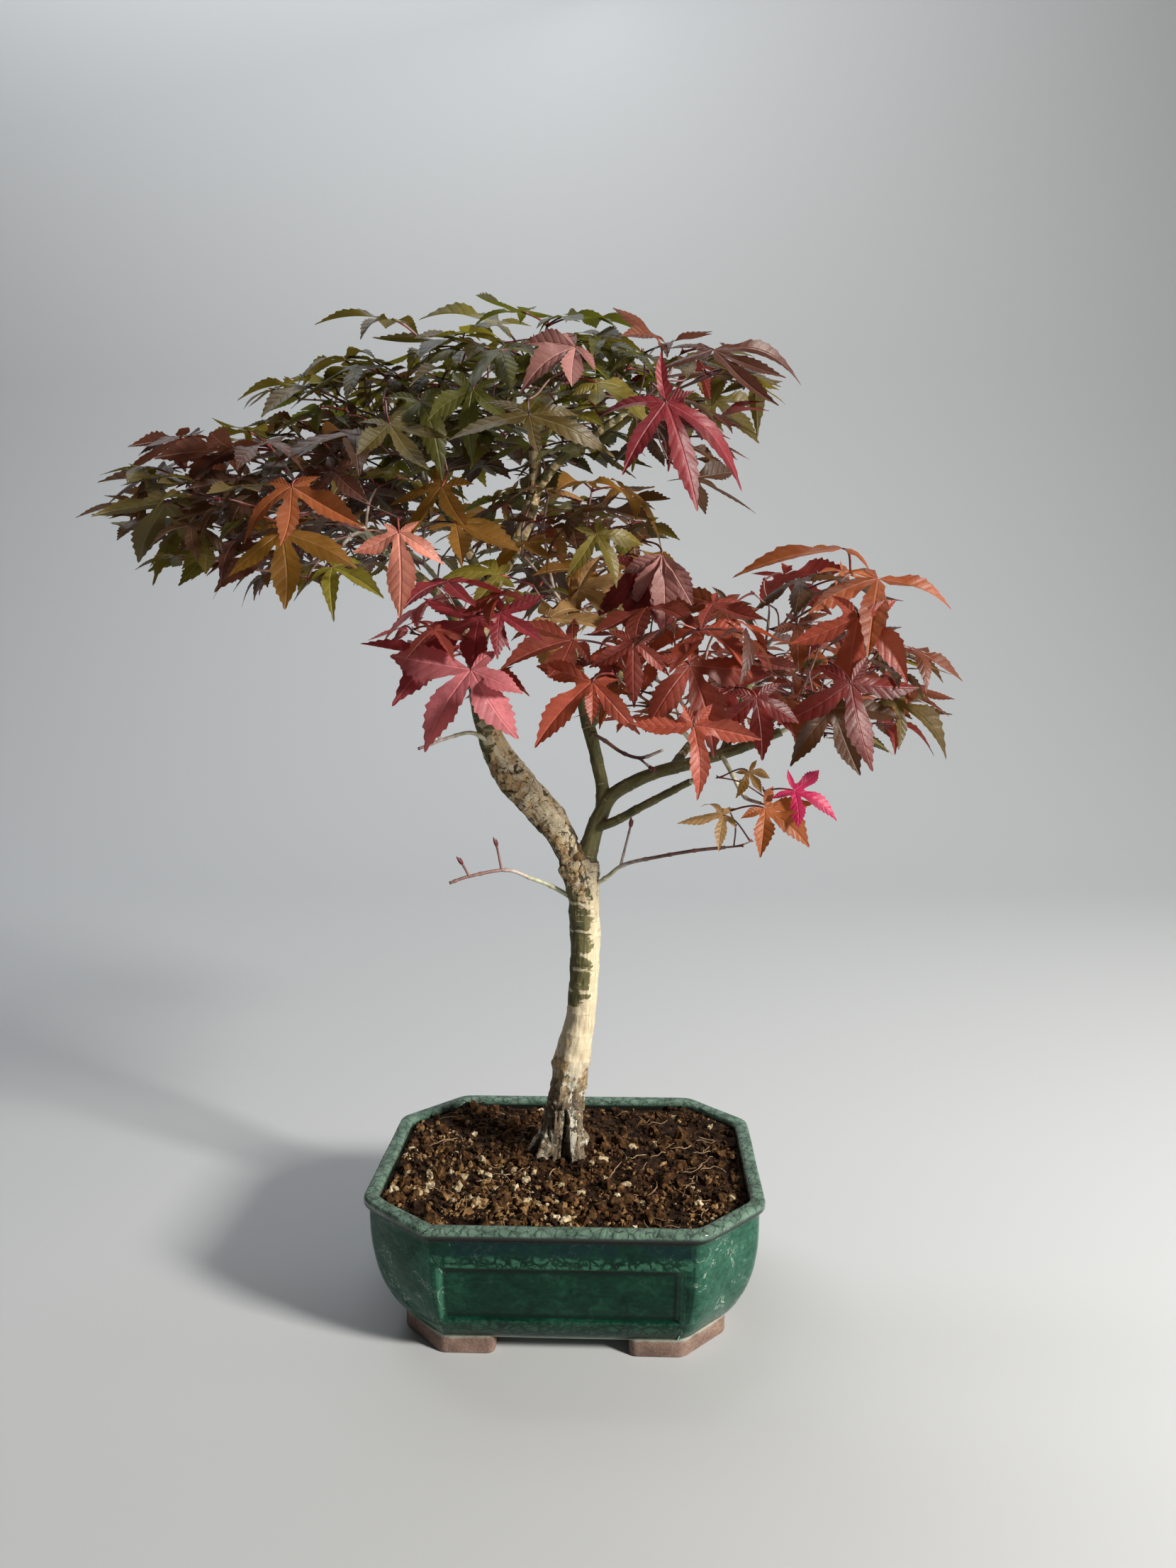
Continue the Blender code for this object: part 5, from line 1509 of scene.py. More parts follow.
# %% What already stands
class Space:
    """What already stands in the crown, so a new piece can be tried against it."""

    def __init__(self):
        self.rows = []

    def ball(self, verts):
        """A ball round a shape, by which most pieces are told apart quickly."""
        middle = sum(verts, Vector()) / len(verts)
        return middle, max((v - middle).length for v in verts)

    def add(self, owner, verts, faces):
        self.rows.append((owner, *self.ball(verts), BVHTree.FromPolygons(verts, faces)))

    def touches(self, verts, faces, skip=()):
        middle, reach = self.ball(verts)
        tree = BVHTree.FromPolygons(verts, faces)
        for owner, other, far, known in self.rows:
            if owner in skip or (other - middle).length > reach + far:
                continue
            if tree.overlap(known):
                return True
        return False


print("points in a leaf's outline", len(leaf_outline(1)))

# %% [markdown]
# A twig grows from the nearest standing point that heads the right way, so older wood
# carries more and grows thicker. Random branching fills a crown with twigs that lead
# nowhere. Here a twig is drawn only to a spot where leaves are wanted.

# %% Twigs that branch
NODE_GAP = 11


def bend(start, heading, goal, count):
    """Points from a start to a goal, leaving along the heading."""
    span = (goal - start).length
    pull = heading * span * 0.45
    line = []
    for k in range(1, count + 1):
        t = k / count
        along = 0.6 * t + 0.4 * t * t * (3 - 2 * t)
        line.append(start + pull * (2 * t * (1 - t) ** 2) + (goal - start) * along)
    return line


class Twigs:
    """A branching net that grows from one stem to reach each goal in turn."""

    def __init__(self, root, heading, rng):
        self.points, self.parents, self.paths = [root], [-1], [0]
        self.heads, self.loads, self.branches = [heading], [0], []
        self.rng = rng
        self.extend(0, [root + heading * 4, root + heading * 8])

    def extend(self, start, line):
        """Adds a branch from a standing point and gives its nodes' numbers."""
        row = [start]
        for point in line:
            back = row[-1]
            step = point - self.points[back]
            self.points.append(point)
            self.parents.append(back)
            self.paths.append(self.paths[back] + step.length)
            self.heads.append(step.normalized())
            self.loads.append(0)
            row.append(len(self.points) - 1)
        self.branches.append(row)
        return row

    def reach(self, goal, attempt):
        """A line of points from the best standing point to the goal."""
        best = None
        for i, point in enumerate(self.points):
            gap = goal - point
            far = gap.length
            if far < 0.5 or i == 0:
                continue
            turn = self.heads[i].dot(gap) / far
            cost = far * (1.55 - 0.55 * turn) + 0.35 * self.paths[i]
            cost *= 1 + self.rng.uniform(0, 0.06) * attempt
            if best is None or cost < best[0]:
                best = (cost, i)
        start = best[1]
        count = max(2, round((goal - self.points[start]).length / NODE_GAP))
        *inner, last = bend(self.points[start], self.heads[start], goal, count)
        loose = 0.7 + attempt * 1.2
        return start, [*(point + jitter(self.rng, loose) for point in inner), last]

    def drop_last(self):
        keep = len(self.points) - len(self.branches.pop()) + 1
        for row in (self.points, self.parents, self.paths, self.heads, self.loads):
            del row[keep:]

    def carry(self, node):
        """One more leaf's load on every node down to the root."""
        while node >= 0:
            self.loads[node] += 1
            node = self.parents[node]


def jitter(rng, wide):
    return Vector([rng.uniform(-wide, wide) for _ in range(3)])


def front_axis(turn, tip):
    """A direction from its turn as seen from the front and its tip towards the front."""
    turn, tip = math.radians(turn), math.radians(tip)
    return Vector((math.cos(turn) * math.cos(tip), -math.sin(tip), math.sin(turn) * math.cos(tip)))


# %% [markdown]
# Now one mass. It first places the leaves that have a spot of their own, each on a twig
# that comes from behind it. Then it sends twigs to the emptiest places in its space and
# tries three leaves on each, to both sides and ahead, as maple leaves stand in pairs.

# %% A mass of leaves
BOX_LOW = (CAD_BOX[0] - MIDDLE) / MM
BOX_HIGH = (CAD_BOX[1] - MIDDLE) / MM
TWIG_TRIES, PLACE_TRIES, SPOTS_TRIED, LEAF_TRIES, SPRAY_TRIES = 6, 24, 24, 10, 4


def in_egg(verts, middle, halves):
    return all(sum((a / b) ** 2 for a, b in zip(v - middle, halves)) <= 1 for v in verts)


def in_box(verts, spare):
    return all(low + spare < a < high - spare
               for v in verts for low, a, high in zip(BOX_LOW, v, BOX_HIGH))


class Mass:
    """One mass: its own space, one stem, the twigs from it and the leaves they carry."""

    def __init__(self, name, tip, ahead, middle, halves, space, seed):
        self.name = name
        self.root = tip + ahead * (GAP + 0.1)
        self.middle, self.halves, self.space = middle, halves, space
        self.rng = random.Random(seed)
        self.twigs = Twigs(self.root, ahead, self.rng)
        self.leaves, self.spots = [], []
        # room round a leaf, a stalk's radius, a leaf's length and how much that varies
        self.spare, self.wide, self.long, self.vary, self.late = 0.35, 0.85, 33.5, 5, False

    def twig_to(self, goal):
        """The node at a new twig's end, or nothing where every way is blocked."""
        for attempt in range(TWIG_TRIES):
            start, line = self.twigs.reach(goal, attempt)
            shape = tube([self.twigs.points[start], *line], [0.9] * (len(line) + 1), 3)
            if not self.space.touches(*shape, skip=(self.name,)):
                self.space.add(self.name, *shape)
                self.spots.append(goal)
                return self.twigs.extend(start, line)[-1]
        return None

    def drop_last_twig(self):
        self.twigs.drop_last()
        self.space.rows.pop()
        self.spots.pop()

    def leaf(self, node, centre, axis, face, length, bounded):
        """A leaf on its stalk, if it keeps to the space and touches nothing."""
        axis = axis.normalized()
        frame = leaf_frame(centre, axis, face)
        droop = self.rng.uniform(0.05, 0.20)
        spread = self.rng.uniform(0.88, 1.12)
        blade = blade_block(frame, length, droop, spread, self.spare)
        if bounded and not in_egg(blade[0], self.middle, self.halves):
            return False
        if self.late and not in_box(blade[0], 1.5):
            return False
        if self.space.touches(*blade):
            return False
        foot = self.twigs.points[node]
        away = (foot - centre).normalized()
        if away.dot(axis) > -0.3:
            return False
        stalk = tube([foot.lerp(centre, 0.2), centre - axis], [self.wide, self.wide - 0.05], 3)
        if self.space.touches(*stalk, skip=(self.name,)):
            return False
        self.space.add("leaf", *blade)
        self.space.add(self.name, *stalk)
        self.twigs.carry(node)
        self.leaves.append({"frame": frame, "length": length, "droop": droop, "spread": spread,
                            "node": node, "foot": foot - self.twigs.heads[node] * 0.7,
                            "tint": None, "spot": None})
        return True

    def place(self, tint, x, y, z, turn, tip, up, length):
        """One of the listed leaves, tried with a foot behind it in several places."""
        rng = self.rng
        axis = front_axis(turn, tip)
        face = Vector((0, up - 1, up + 0.1))
        for attempt in range(PLACE_TRIES):
            centre = Vector((x, y, z)) + jitter(rng, 0.35 * attempt)
            back = (self.root - centre).normalized()
            away = back * 0.75 - axis * 0.55 + Vector((0, 0.1, 0.12)) + jitter(rng, 0.04 * attempt)
            foot = centre + away.normalized() * rng.uniform(13, 22)
            node = self.twig_to(foot)
            if node and self.leaf(node, centre, axis, face, length, False):
                self.leaves[-1].update(tint=tint, spot=(x, y, z))
                return
            if node:
                self.drop_last_twig()

    def spray(self):
        """A twig to the emptiest of some random spots, then up to three leaves on it."""
        rng = self.rng
        best = None
        for _ in range(SPOTS_TRIED):
            spot = jitter(rng, 1)
            if not 0.2 < spot.length < 1:
                continue
            spot = self.middle + Vector([a * b * 0.72 for a, b in zip(spot, self.halves)])
            room = min([(spot - self.root).length + 12, *((spot - p).length for p in self.spots)])
            if best is None or room > best[0]:
                best = (room, spot)
        spot = best[1]
        node = self.twig_to(spot)
        if not node:
            return 0
        away = spot - self.root.lerp(self.middle, 0.35)
        course = math.atan2(away.y, away.x)
        high = max(-1, min(1, (spot.z - self.middle.z) / self.halves[2]))
        count = 0
        for side in (-1, 1, 0):
            for _ in range(LEAF_TRIES):
                turn = course + side * rng.uniform(0.65, 1.5) + rng.uniform(-0.3, 0.3)
                dip = math.radians(rng.uniform(-4, 40) - 14 * high)
                flat = math.cos(dip)
                axis = Vector((math.cos(turn) * flat, math.sin(turn) * flat, -math.sin(dip)))
                face = Vector((rng.uniform(-0.4, 0.4), rng.uniform(-0.6, 0.3), 1))
                lift = Vector((0, 0, rng.uniform(-0.1, 0.35) + math.sin(dip)))
                centre = spot + (axis + lift).normalized() * rng.uniform(11, 20)
                length = self.long + rng.uniform(-self.vary, self.vary)
                if self.leaf(node, centre, axis, face, length, True):
                    count += 1
                    break
        if not count:
            self.drop_last_twig()
        return count

    def fill(self, quota):
        """Sprays until the mass has this many leaves, or has tried four times as often."""
        for _ in range(quota * SPRAY_TRIES):
            if len(self.leaves) >= quota:
                break
            self.spray()


# %% [markdown]
# The masses come next, with the limb each grows from, the middle and half sizes of its
# space, its number of full-grown leaves, how many younger ones fill it up, and the
# tints its sprays are dealt. Then, mass by mass, the leaves with a place of their own: the
# tint, the middle, the turn, the tip towards the front, the share facing up, the length.

# %% Masses and placed leaves
MASSES = (
    ("foliage_left", "left_bough", (-133, -12, 386), (86, 80, 44), 22, 66,
     "bronze bronze chestnut chestnut olive olive moss bronze"),
    ("foliage_upper_left", "upper_left_bough", (-88, 30, 430), (76, 72, 44), 19, 52,
     "moss leafgreen olive olive bronze moss lime"),
    ("foliage_top", "leader_upper", (-16, 26, 444), (80, 84, 48), 21, 70,
     "moss leafgreen olive lime moss bronze leafgreen"),
    ("foliage_top_right", "top_right_bough", (56, 8, 440), (54, 60, 40), 12, 16,
     "chestnut bronze russet garnet olive"),
    ("foliage_centre", "upright_bough", (2, 18, 366), (60, 70, 50), 13, 22,
     "lime olive amber leafgreen bronze tan"),
    ("foliage_front", "front_bough", (-38, -50, 328), (46, 46, 36), 6, 10,
     "crimson garnet scarlet rose"),
    ("foliage_middle", "low_bough", (50, -44, 314), (64, 54, 38), 12, 15,
     "scarlet garnet russet scarlet coral chestnut"),
    ("foliage_right", "right_bough", (128, -16, 305), (60, 58, 34), 11, 10,
     "russet garnet scarlet bronze chestnut olive"),
    ("foliage_right_upper", "rise_bough", (112, 6, 340), (62, 58, 34), 10, 4,
     "russet scarlet garnet orange bronze"),
    ("foliage_back", "back_bough", (0, 94, 370), (66, 54, 50), 9, 26,
     "olive russet amber bronze"),
    ("foliage_back_left", "back_left_bough", (-108, 88, 396), (78, 54, 42), 9, 28,
     "bronze olive moss amber"),
    ("foliage_back_right", "back_right_bough", (118, 78, 304), (68, 54, 34), 9, 22,
     "scarlet orange russet"),
    ("spray_low_right", "right_twig", (88, -30, 243), (40, 30, 24), 2, 0, "orange"),
    ("spray_small", "lower_spray_twig", (104, -28, 254), (36, 30, 24), 2, 0, "amber"),
)
PLACED = """
foliage_top_right
crimson 47 -70 422 -70 18 0.25 43
chestnut 68 -40 450 -30 15 0.40 41
russet 44 -30 458 142 5 0.70 24
bronze 60 -22 399 -20 10 0.60 31
leafgreen 25 -14 450 110 5 0.40 18
foliage_top
blush 9 -40 452 -155 25 0.40 36
olive -8 -75 417 -78 25 0.35 40
leafgreen -23 -44 450 -140 25 0.55 38
lime -29 0 474 160 0 0.60 38
moss -52 4 468 190 10 0.60 38
foliage_upper_left
olive -77 0 477 172 0 0.65 38
moss -92 -14 452 200 15 0.60 34
bronze -85 -50 415 -160 30 0.45 40
olive -119 -4 446 172 5 0.60 40
leafgreen -60 -34 432 -60 30 0.60 36
foliage_left
orange -106 -75 390 -85 30 0.45 40
amber -117 -56 374 -80 20 0.35 40
salmon -60 -86 370 -84 18 0.35 43
bronze -158 6 416 175 5 0.60 36
bronze -184 -10 404 185 12 0.60 36
amber -44 -44 378 -25 15 0.50 30
foliage_upper_left
amber -52 -30 396 -120 20 0.50 34
foliage_left
olive -176 -6 386 192 15 0.60 38
moss -170 2 374 200 10 0.50 38
bronze -150 -34 386 -120 20 0.45 36
lime -100 -40 360 -30 10 0.40 29
foliage_centre
wine 37 -35 360 -95 10 0.20 38
tan -4 -40 338 -10 20 0.50 34
tan 11 -20 349 20 10 0.40 33
lime -25 -40 356 170 20 0.50 28
foliage_front
rose -33 -80 315 -106 20 0.25 39
crimson -33 -55 336 -160 20 0.50 36
crimson -46 -60 326 172 15 0.60 34
foliage_middle
coral 17 -85 310 -110 20 0.45 36
scarlet 9 -56 324 -170 20 0.50 34
scarlet 57 -70 316 -60 20 0.50 38
garnet 75 -48 306 -25 20 0.50 34
coral 58 -85 292 -84 20 0.40 38
foliage_right_upper
coral 130 -50 336 -100 15 0.35 40
orange 141 -36 353 -14 10 0.50 36
orange 127 -22 367 186 5 0.65 40
russet 76 -42 340 -150 15 0.50 33
russet 110 -10 334 -20 15 0.50 29
foliage_right
garnet 125 -62 309 -75 15 0.35 40
russet 148 -12 303 -5 10 0.65 34
bronze 120 -48 297 -70 15 0.40 36
olive 146 -30 296 -30 10 0.50 33
spray_low_right
orange 93 -35 251 -35 15 0.50 28
tan 75 -30 247 178 10 0.50 22
spray_small
magenta 108 -27 255 -20 10 0.50 26
amber 86 -32 266 -60 10 0.40 14
"""
# young leaves with a place of their own, that come after the standing ones
PLACED_LATE = """
foliage_centre
blush 46 -44 364 -94 5 0.10 31
lime 18 -52 372 -60 15 0.40 24
foliage_upper_left
olive -70 -52 418 -70 15 0.45 31
foliage_top
lime 18 -44 436 -35 15 0.45 28
leafgreen -36 -58 432 -100 20 0.50 30
foliage_left
chestnut -92 -62 398 -110 15 0.50 28
foliage_front
crimson -22 -72 338 -30 15 0.35 27
foliage_middle
scarlet 34 -76 326 -95 10 0.35 27
garnet 82 -66 300 -80 15 0.40 28
"""
SEED = 11
print(len(MASSES), "masses of leaves")

# %% [markdown]
# The crown grows in two goes. First come the full-grown leaves, the same ones that the
# plain solids have. Then all of them are tried at their true thinness, which leaves room
# for young leaves in between. Last, each spray is dealt one tint.

# %% Growing the crown
def limb_shape(line, sides):
    return tube([p.xyz for p in line], [p.w + GAP for p in line], sides)


def place_listed(masses, text):
    """Places the leaves of a list, where a line with one word names the next mass."""
    for line in text.strip().splitlines():
        word, *numbers = line.split()
        if numbers:
            mass.place(word, *map(float, numbers))
        else:
            mass = masses[word]


def grow_masses():
    """The standing leaves: those with a place of their own, then each mass's number."""
    space = Space()
    space.add("limbs", *limb_shape(curve_through([Vector(p) for p in TRUNK], 2), TRUNK_SIDES))
    tips = {}
    for row in LIMBS:
        line = limb_line(row, 2)
        tips[row[0]] = (line[-1].xyz, (line[-1].xyz - line[-2].xyz).normalized())
        space.add("limbs", *limb_shape(line, row[1]))
    masses = {}
    for index, (name, limb, middle, halves, *_) in enumerate(MASSES):
        masses[name] = Mass(name, *tips[limb], Vector(middle), Vector(halves), space,
                            SEED * 100 + index)
    place_listed(masses, PLACED)
    for row in MASSES:
        masses[row[0]].fill(row[4])
    return space, masses


def thin_out(space, masses):
    """The standing leaves and twigs at their true thickness, so more can come between."""
    space.rows = [row for row in space.rows if row[0] == "limbs"]
    for mass in masses.values():
        for row in mass.twigs.branches:
            line = [mass.twigs.points[i] for i in row]
            space.add(mass.name, *tube(line, [0.6] * len(line), 3))
        for leaf in mass.leaves:
            space.add("leaf", *blade_block(leaf["frame"], leaf["length"], leaf["droop"],
                                           leaf["spread"], -0.45))
        mass.spare, mass.wide, mass.long, mass.vary, mass.late = -0.45, 0.45, 28, 6.5, True


def deal_tints(masses):
    """One tint to each spray, from its mass's own list."""
    for row in MASSES:
        tints, rng, by_node = row[6].split(), random.Random(row[0]), {}
        for leaf in masses[row[0]].leaves:
            if leaf["tint"] is None:
                if leaf["node"] not in by_node:
                    by_node[leaf["node"]] = rng.choice(tints)
                leaf["tint"] = by_node[leaf["node"]]


space, masses = grow_masses()
print(sum(len(mass.leaves) for mass in masses.values()), "full-grown leaves")
thin_out(space, masses)
place_listed(masses, PLACED_LATE)
for row in MASSES:
    masses[row[0]].fill(len(masses[row[0]].leaves) + row[5])
deal_tints(masses)
print(sum(len(mass.leaves) for mass in masses.values()), "with the young ones")

# %% [markdown]
# ## The leaves
# A maple leaf is five lance-shaped lobes round a small palm, saw-toothed past the
# middle, folded along each midrib and puckered between the side veins. An image on a
# card would need a picture. Each leaf is worked out as a grid of points instead: five
# columns across each lobe and a row at every tooth and notch, bent, folded and twisted
# by its own numbers. Neighbouring lobes share their points up to the notch between them.

# %% One lobe as a grid
TEETH = 8
PALM = 0.17
SIDE_VEINS, VEIN_SLANT = 7, 1.1
COLUMNS = np.array([-1, -0.5, 0, 0.5, 1])
WIDTH_AT = (0.14, 0.22, 0.31, 0.40, 0.50, 0.60, 0.70, 0.80, 0.90, 1)
WIDTH = (0.056, 0.070, 0.094, 0.118, 0.131, 0.124, 0.100, 0.066, 0.030, 0.003)


def soft(values, low, high):
    """The same soft step as ease, for arrays."""
    share = np.clip((values - low) / (high - low), 0, 1)
    return share * share * (3 - 2 * share)


def lobe_height(rng, u, y, length, palm_fold):
    """A lobe's height: folded, puckered between its veins, curled, bent and twisted."""
    d = np.abs(y)
    beyond = soft(u, 0.18, 0.45)
    crease = rng.uniform(0.10, 0.60) if rng.random() < 0.75 else rng.uniform(-0.35, -0.05)
    height = (palm_fold + (crease - palm_fold) * beyond) * d
    between = np.cos(math.tau * SIDE_VEINS * (u - VEIN_SLANT * d / length))
    height += 0.044 * d * np.sin(np.pi * np.abs(COLUMNS))[None, :] * between * beyond
    curl = rng.uniform(0.5, 1.1) if rng.random() < 0.14 else rng.uniform(-0.30, 0.42)
    height -= curl * np.clip(u - 0.30, 0, 1) ** 2 * length
    height -= rng.uniform(-0.14, 0.20) * np.clip(u - PALM, 0, 1) * length
    return height + rng.uniform(-0.55, 0.55) * y * beyond


def lobe_grid(rng, length, left, right, palm_fold, girth):
    """One lobe along x in leaf lengths, with its place along and across for the veins."""
    notch = PALM * math.cos((left + right) / 2)
    steps = np.linspace(0, 1, 2 * TEETH + 2)[1:] ** 0.92
    along = np.concatenate([np.array([0.5, 1]) * notch, notch + (length - notch) * steps])
    half = np.interp(along / length, (notch / length, *WIDTH_AT), (0, *WIDTH)) * length * girth
    strong = soft(along / length, 0.26, 0.42)
    inner = np.arange(len(along)) < 2
    blend = soft(along, notch, notch + 0.10 * length)
    x = np.repeat(along[:, None], len(COLUMNS), axis=1)
    y = np.zeros_like(x)
    for edge, half_way, sign, angle in ((0, 1, -1, left), (4, 3, 1, right)):
        deep = np.array([rng.uniform(*((1, 1.10) if k % 2 else (0.86, 0.94)))
                         for k in range(len(along))])
        tooth = 1 + (np.where(inner, 1, deep) - 1) * strong
        lane = np.where(inner, PALM * math.sin(angle) * along / notch,
                        PALM * math.sin(angle) * (1 - blend) + half * blend)
        y[:, edge] = sign * lane * tooth
        y[:, half_way] = sign * 0.5 * lane
        lean = 0.020 * length * strong * (deep > 1)
        x[2:, edge] += lean[2:]
        x[2:, half_way] += 0.3 * lean[2:]
        # the notch lies where both lobes meet, so the palm rows slope back at their edges
        for r, reach in ((0, 0.5), (1, 1)):
            for c, share in ((edge, 1), (half_way, 0.5)):
                x[r, c] = notch * reach + (PALM * math.cos(angle) - notch) * reach * share
    u = x / length
    height = lobe_height(rng, u, y, length, palm_fold)
    shift = rng.uniform(-0.30, 0.30) * np.clip(u - 0.3, 0, 1) ** 2 * length
    return x, y + shift, height, np.stack([u, 0.5 + y / length], axis=-1)


# %% [markdown]
# The lobes are turned about the leaf's foot and joined. Most leaves draw their lobes
# from the same five with some play. The few large ones that face the viewer have lobes
# of their own, because their outlines are what the eye knows the tree by.

# %% One leaf
LOBES_ROUND = ((-128, 0.46), (-61, 0.88), (0, 1), (61, 0.88), (128, 0.46))
# radians: half of a lobe's share of the turn, at its widest and for the outermost lobes
WIDEST_HALF, OUTER_HALF = 0.62, 0.42
# leaves with lobes of their own, by their place in the list: turn and length of each
# lobe, how wide the lobes are and how far the blade folds along its middle
OWN_LOBES = {
    (47, -70, 422): (((-109, .64), (-50, .82), (0, 1.02), (40, .95), (86, .30), (165, .5)), 0.95, 0.1),
    (68, -40, 450): (((-171, .5), (-125, .66), (-24, .98), (-1, .82), (46, 1.05)), 0.66, 0.1),
    (127, -22, 367): (((-48, .52), (-5, 1.25), (146, .38)), 0.95, 0.1),
    (141, -36, 353): (((-159, 1), (-97, 1.14), (7, .97), (166, .5)), 1.2, 0.1),
    (46, -44, 364): (((-52, .60), (-20, .92), (8, 1), (34, .85)), 1.5, 0.9),
    (9, -40, 452): (((-112, .42), (-58, .66), (0, .80), (54, .70), (104, .40)), 1.5, 0.55),
    (37, -35, 360): (((-95, .35), (-30, .8), (0, 1), (28, .95), (100, .3)), 1.3, 1.1),
    (-33, -80, 315): (((-93, 1), (-22, .97), (48, .88), (86, .6), (162, .36)), 1.65, 0.12),
    (-33, -55, 336): (((-118, .5), (-58, .9), (0, 1), (58, .9), (118, .5)), 1.45, 0.05),
    (-46, -60, 326): (((-118, .5), (-58, .9), (0, 1), (58, .9), (118, .5)), 1.40, 0.05),
    (-60, -86, 370): (((-140, .3), (-76, .74), (0, 1.32), (58, .76), (130, .35)), 1.35, 0.12),
    (-8, -75, 417): (((-142, .52), (-92, .86), (0, .55), (61, .88), (96, .5)), 0.95, 0.1),
    (17, -85, 310): (((-92, .75), (-29, .97), (20, .5), (57, .72), (110, .3)), 1.2, 0.15),
    (58, -85, 292): (((-150, .28), (-86, .68), (4, .78), (72, .74), (125, .34)), 1.15, 0.15),
    (-106, -75, 390): (((-125, .3), (-62, .72), (0, .78), (58, .90), (128, .3)), 1.05, 0.15),
}
FLAT_MASSES = ("foliage_top", "foliage_upper_left", "foliage_left", "foliage_back",
               "foliage_back_left")


def leaf_points(leaf, rng):
    """One leaf's points, each lobe's grid of their numbers and vein places, and its rim."""
    lobes, girth, palm_fold = OWN_LOBES.get(leaf["spot"], (None, 0, 0))
    if lobes is None:
        lobes = [(turn + rng.uniform(-7, 7), share * rng.uniform(0.80, 1.06))
                 for turn, share in LOBES_ROUND]
        girth, palm_fold = rng.uniform(1.18, 1.50), rng.uniform(-0.02, 0.25)
    turns = [math.radians(turn) * leaf["spread"] for turn, _ in lobes]
    gaps = [b - a for a, b in zip(turns, turns[1:])]
    sides = [OUTER_HALF, *(min(gap / 2, WIDEST_HALF) for gap in gaps), OUTER_HALF]
    drape = rng.uniform(-0.05, 0.16)
    points, veins, rims, index = [np.zeros((1, 3))], [], [np.zeros(1)], []
    count = 1
    for i, (_, share) in enumerate(lobes):
        x, y, z, vein = lobe_grid(rng, share, sides[i], sides[i + 1], palm_fold, girth)
        own = np.arange(x.size).reshape(x.shape) + count
        if i and gaps[i - 1] < 2 * WIDEST_HALF:
            own[:2, 0] = index[-1][:2, 4]
        flat = np.stack([x * math.cos(turns[i]) - y * math.sin(turns[i]),
                         x * math.sin(turns[i]) + y * math.cos(turns[i]), z], axis=-1)
        flat[..., 2] -= 0.6 * leaf["droop"] * (flat[..., 0] ** 2 + flat[..., 1] ** 2)
        flat[..., 2] -= drape * flat[..., 1] ** 2
        rim = np.abs(COLUMNS)[None, :] ** 2 * soft(vein[..., 0], 0.15, 0.4)
        points.append(flat.reshape(-1, 3))
        rims.append(np.maximum(rim, soft(vein[..., 0], 0.75, 1)).ravel())
        veins.append(vein)
        index.append(own)
        count += x.size
    return np.concatenate(points) * leaf["length"], index, veins, np.concatenate(rims)

# %% [markdown]
# A leaf's own frame takes it to its twig. The upper masses lie flatter, since their
# leaves turn to the sky, and a leaf whose tips would leave the model's box is made
# smaller and tried again.

# %% A leaf in its place
def in_place(leaf, points):
    """A leaf's points on the plant; those of the upper masses are laid flatter."""
    frame = leaf["frame"]
    if leaf["mass"] in FLAT_MASSES and leaf["spot"] not in OWN_LOBES:
        x, _, z = (Vector(c) for c in frame.to_3x3().transposed())
        share = random.Random(leaf["seed"] + 11).random()
        lifted = Vector((x.x, x.y, x.z * (1 - 0.6 * share)))
        frame = leaf_frame(frame.translation, lifted, z + Vector((0, 0, 0.9 * share)))
    return points @ np.array(frame.to_3x3()).T + np.array(frame.translation)


def fitted_leaf(leaf):
    """A leaf made a little smaller until its tips keep inside the model's box."""
    for _ in range(20):
        points, *rest = leaf_points(leaf, random.Random(leaf["seed"]))
        placed = in_place(leaf, points)
        if (placed > np.array(BOX_LOW) + 0.1).all() and (placed < np.array(BOX_HIGH) - 0.1).all():
            break
        leaf["length"] *= 0.97
    return placed, *rest

# %% [markdown]
# The leaves of one tint are one mesh, so each tint needs one finish only. A leaf carries
# what its finish reads: the vein places, how near the rim a point is, a shade of its
# own and a number for each lobe, which picks the half of the lobe that gets painted shade.

# %% Leaves of one tint as one mesh
LEAF_CREASE = 26
# a lobe's quads, as row and column pairs
QUADS = [((r, c), (r + 1, c), (r + 1, c + 1), (r, c + 1)) for r in range(2 * TEETH + 2) for c in range(4)]
print("faces in a leaf", len(LOBES_ROUND) * (len(QUADS) + 4))


def leaf_part(leaf):
    """One leaf's points and faces, its vein places and the numbers its finish reads."""
    placed, index, veins, rim = fitted_leaf(leaf)
    lean = np.full(len(placed), 0.5)
    faces, places = [], []
    for lobe, (own, vein) in enumerate(zip(index, veins)):
        # this number picks which half of the lobe gets painted shade
        lean[own] = random.Random(leaf["seed"] * 31 + lobe).random()
        for c in range(4):
            faces.append((0, own[0, c], own[0, c + 1]))
            places += [(0, 0.5), vein[0, c], vein[0, c + 1]]
        for corners in QUADS:
            faces.append([own[corner] for corner in corners])
            places += [vein[corner] for corner in corners]
    shade = np.full(len(placed), random.Random(leaf["seed"] + 7).random())
    return (placed, faces), places, (rim, shade, lean)


def leaf_mesh(name, leaves):
    parts, places, numbers = zip(*map(leaf_part, leaves))
    mesh = joined(name, parts)
    layer = mesh.uv_layers.new(name="veins")
    layer.data.foreach_set("uv", np.concatenate(places).astype(np.float32).ravel())
    for key, values in zip(("rim", "shade", "lean"), zip(*numbers)):
        store(mesh, key, np.concatenate(values))
    # shared points leave the next lobe's own ones without a face
    shape = bmesh.new()
    shape.from_mesh(mesh)
    loose = [v for v in shape.verts if not v.link_faces]
    bmesh.ops.delete(shape, geom=loose, context="VERTS")
    shape.to_mesh(mesh)
    shape.free()
    mesh.set_sharp_from_angle(angle=math.radians(LEAF_CREASE))
    return mesh
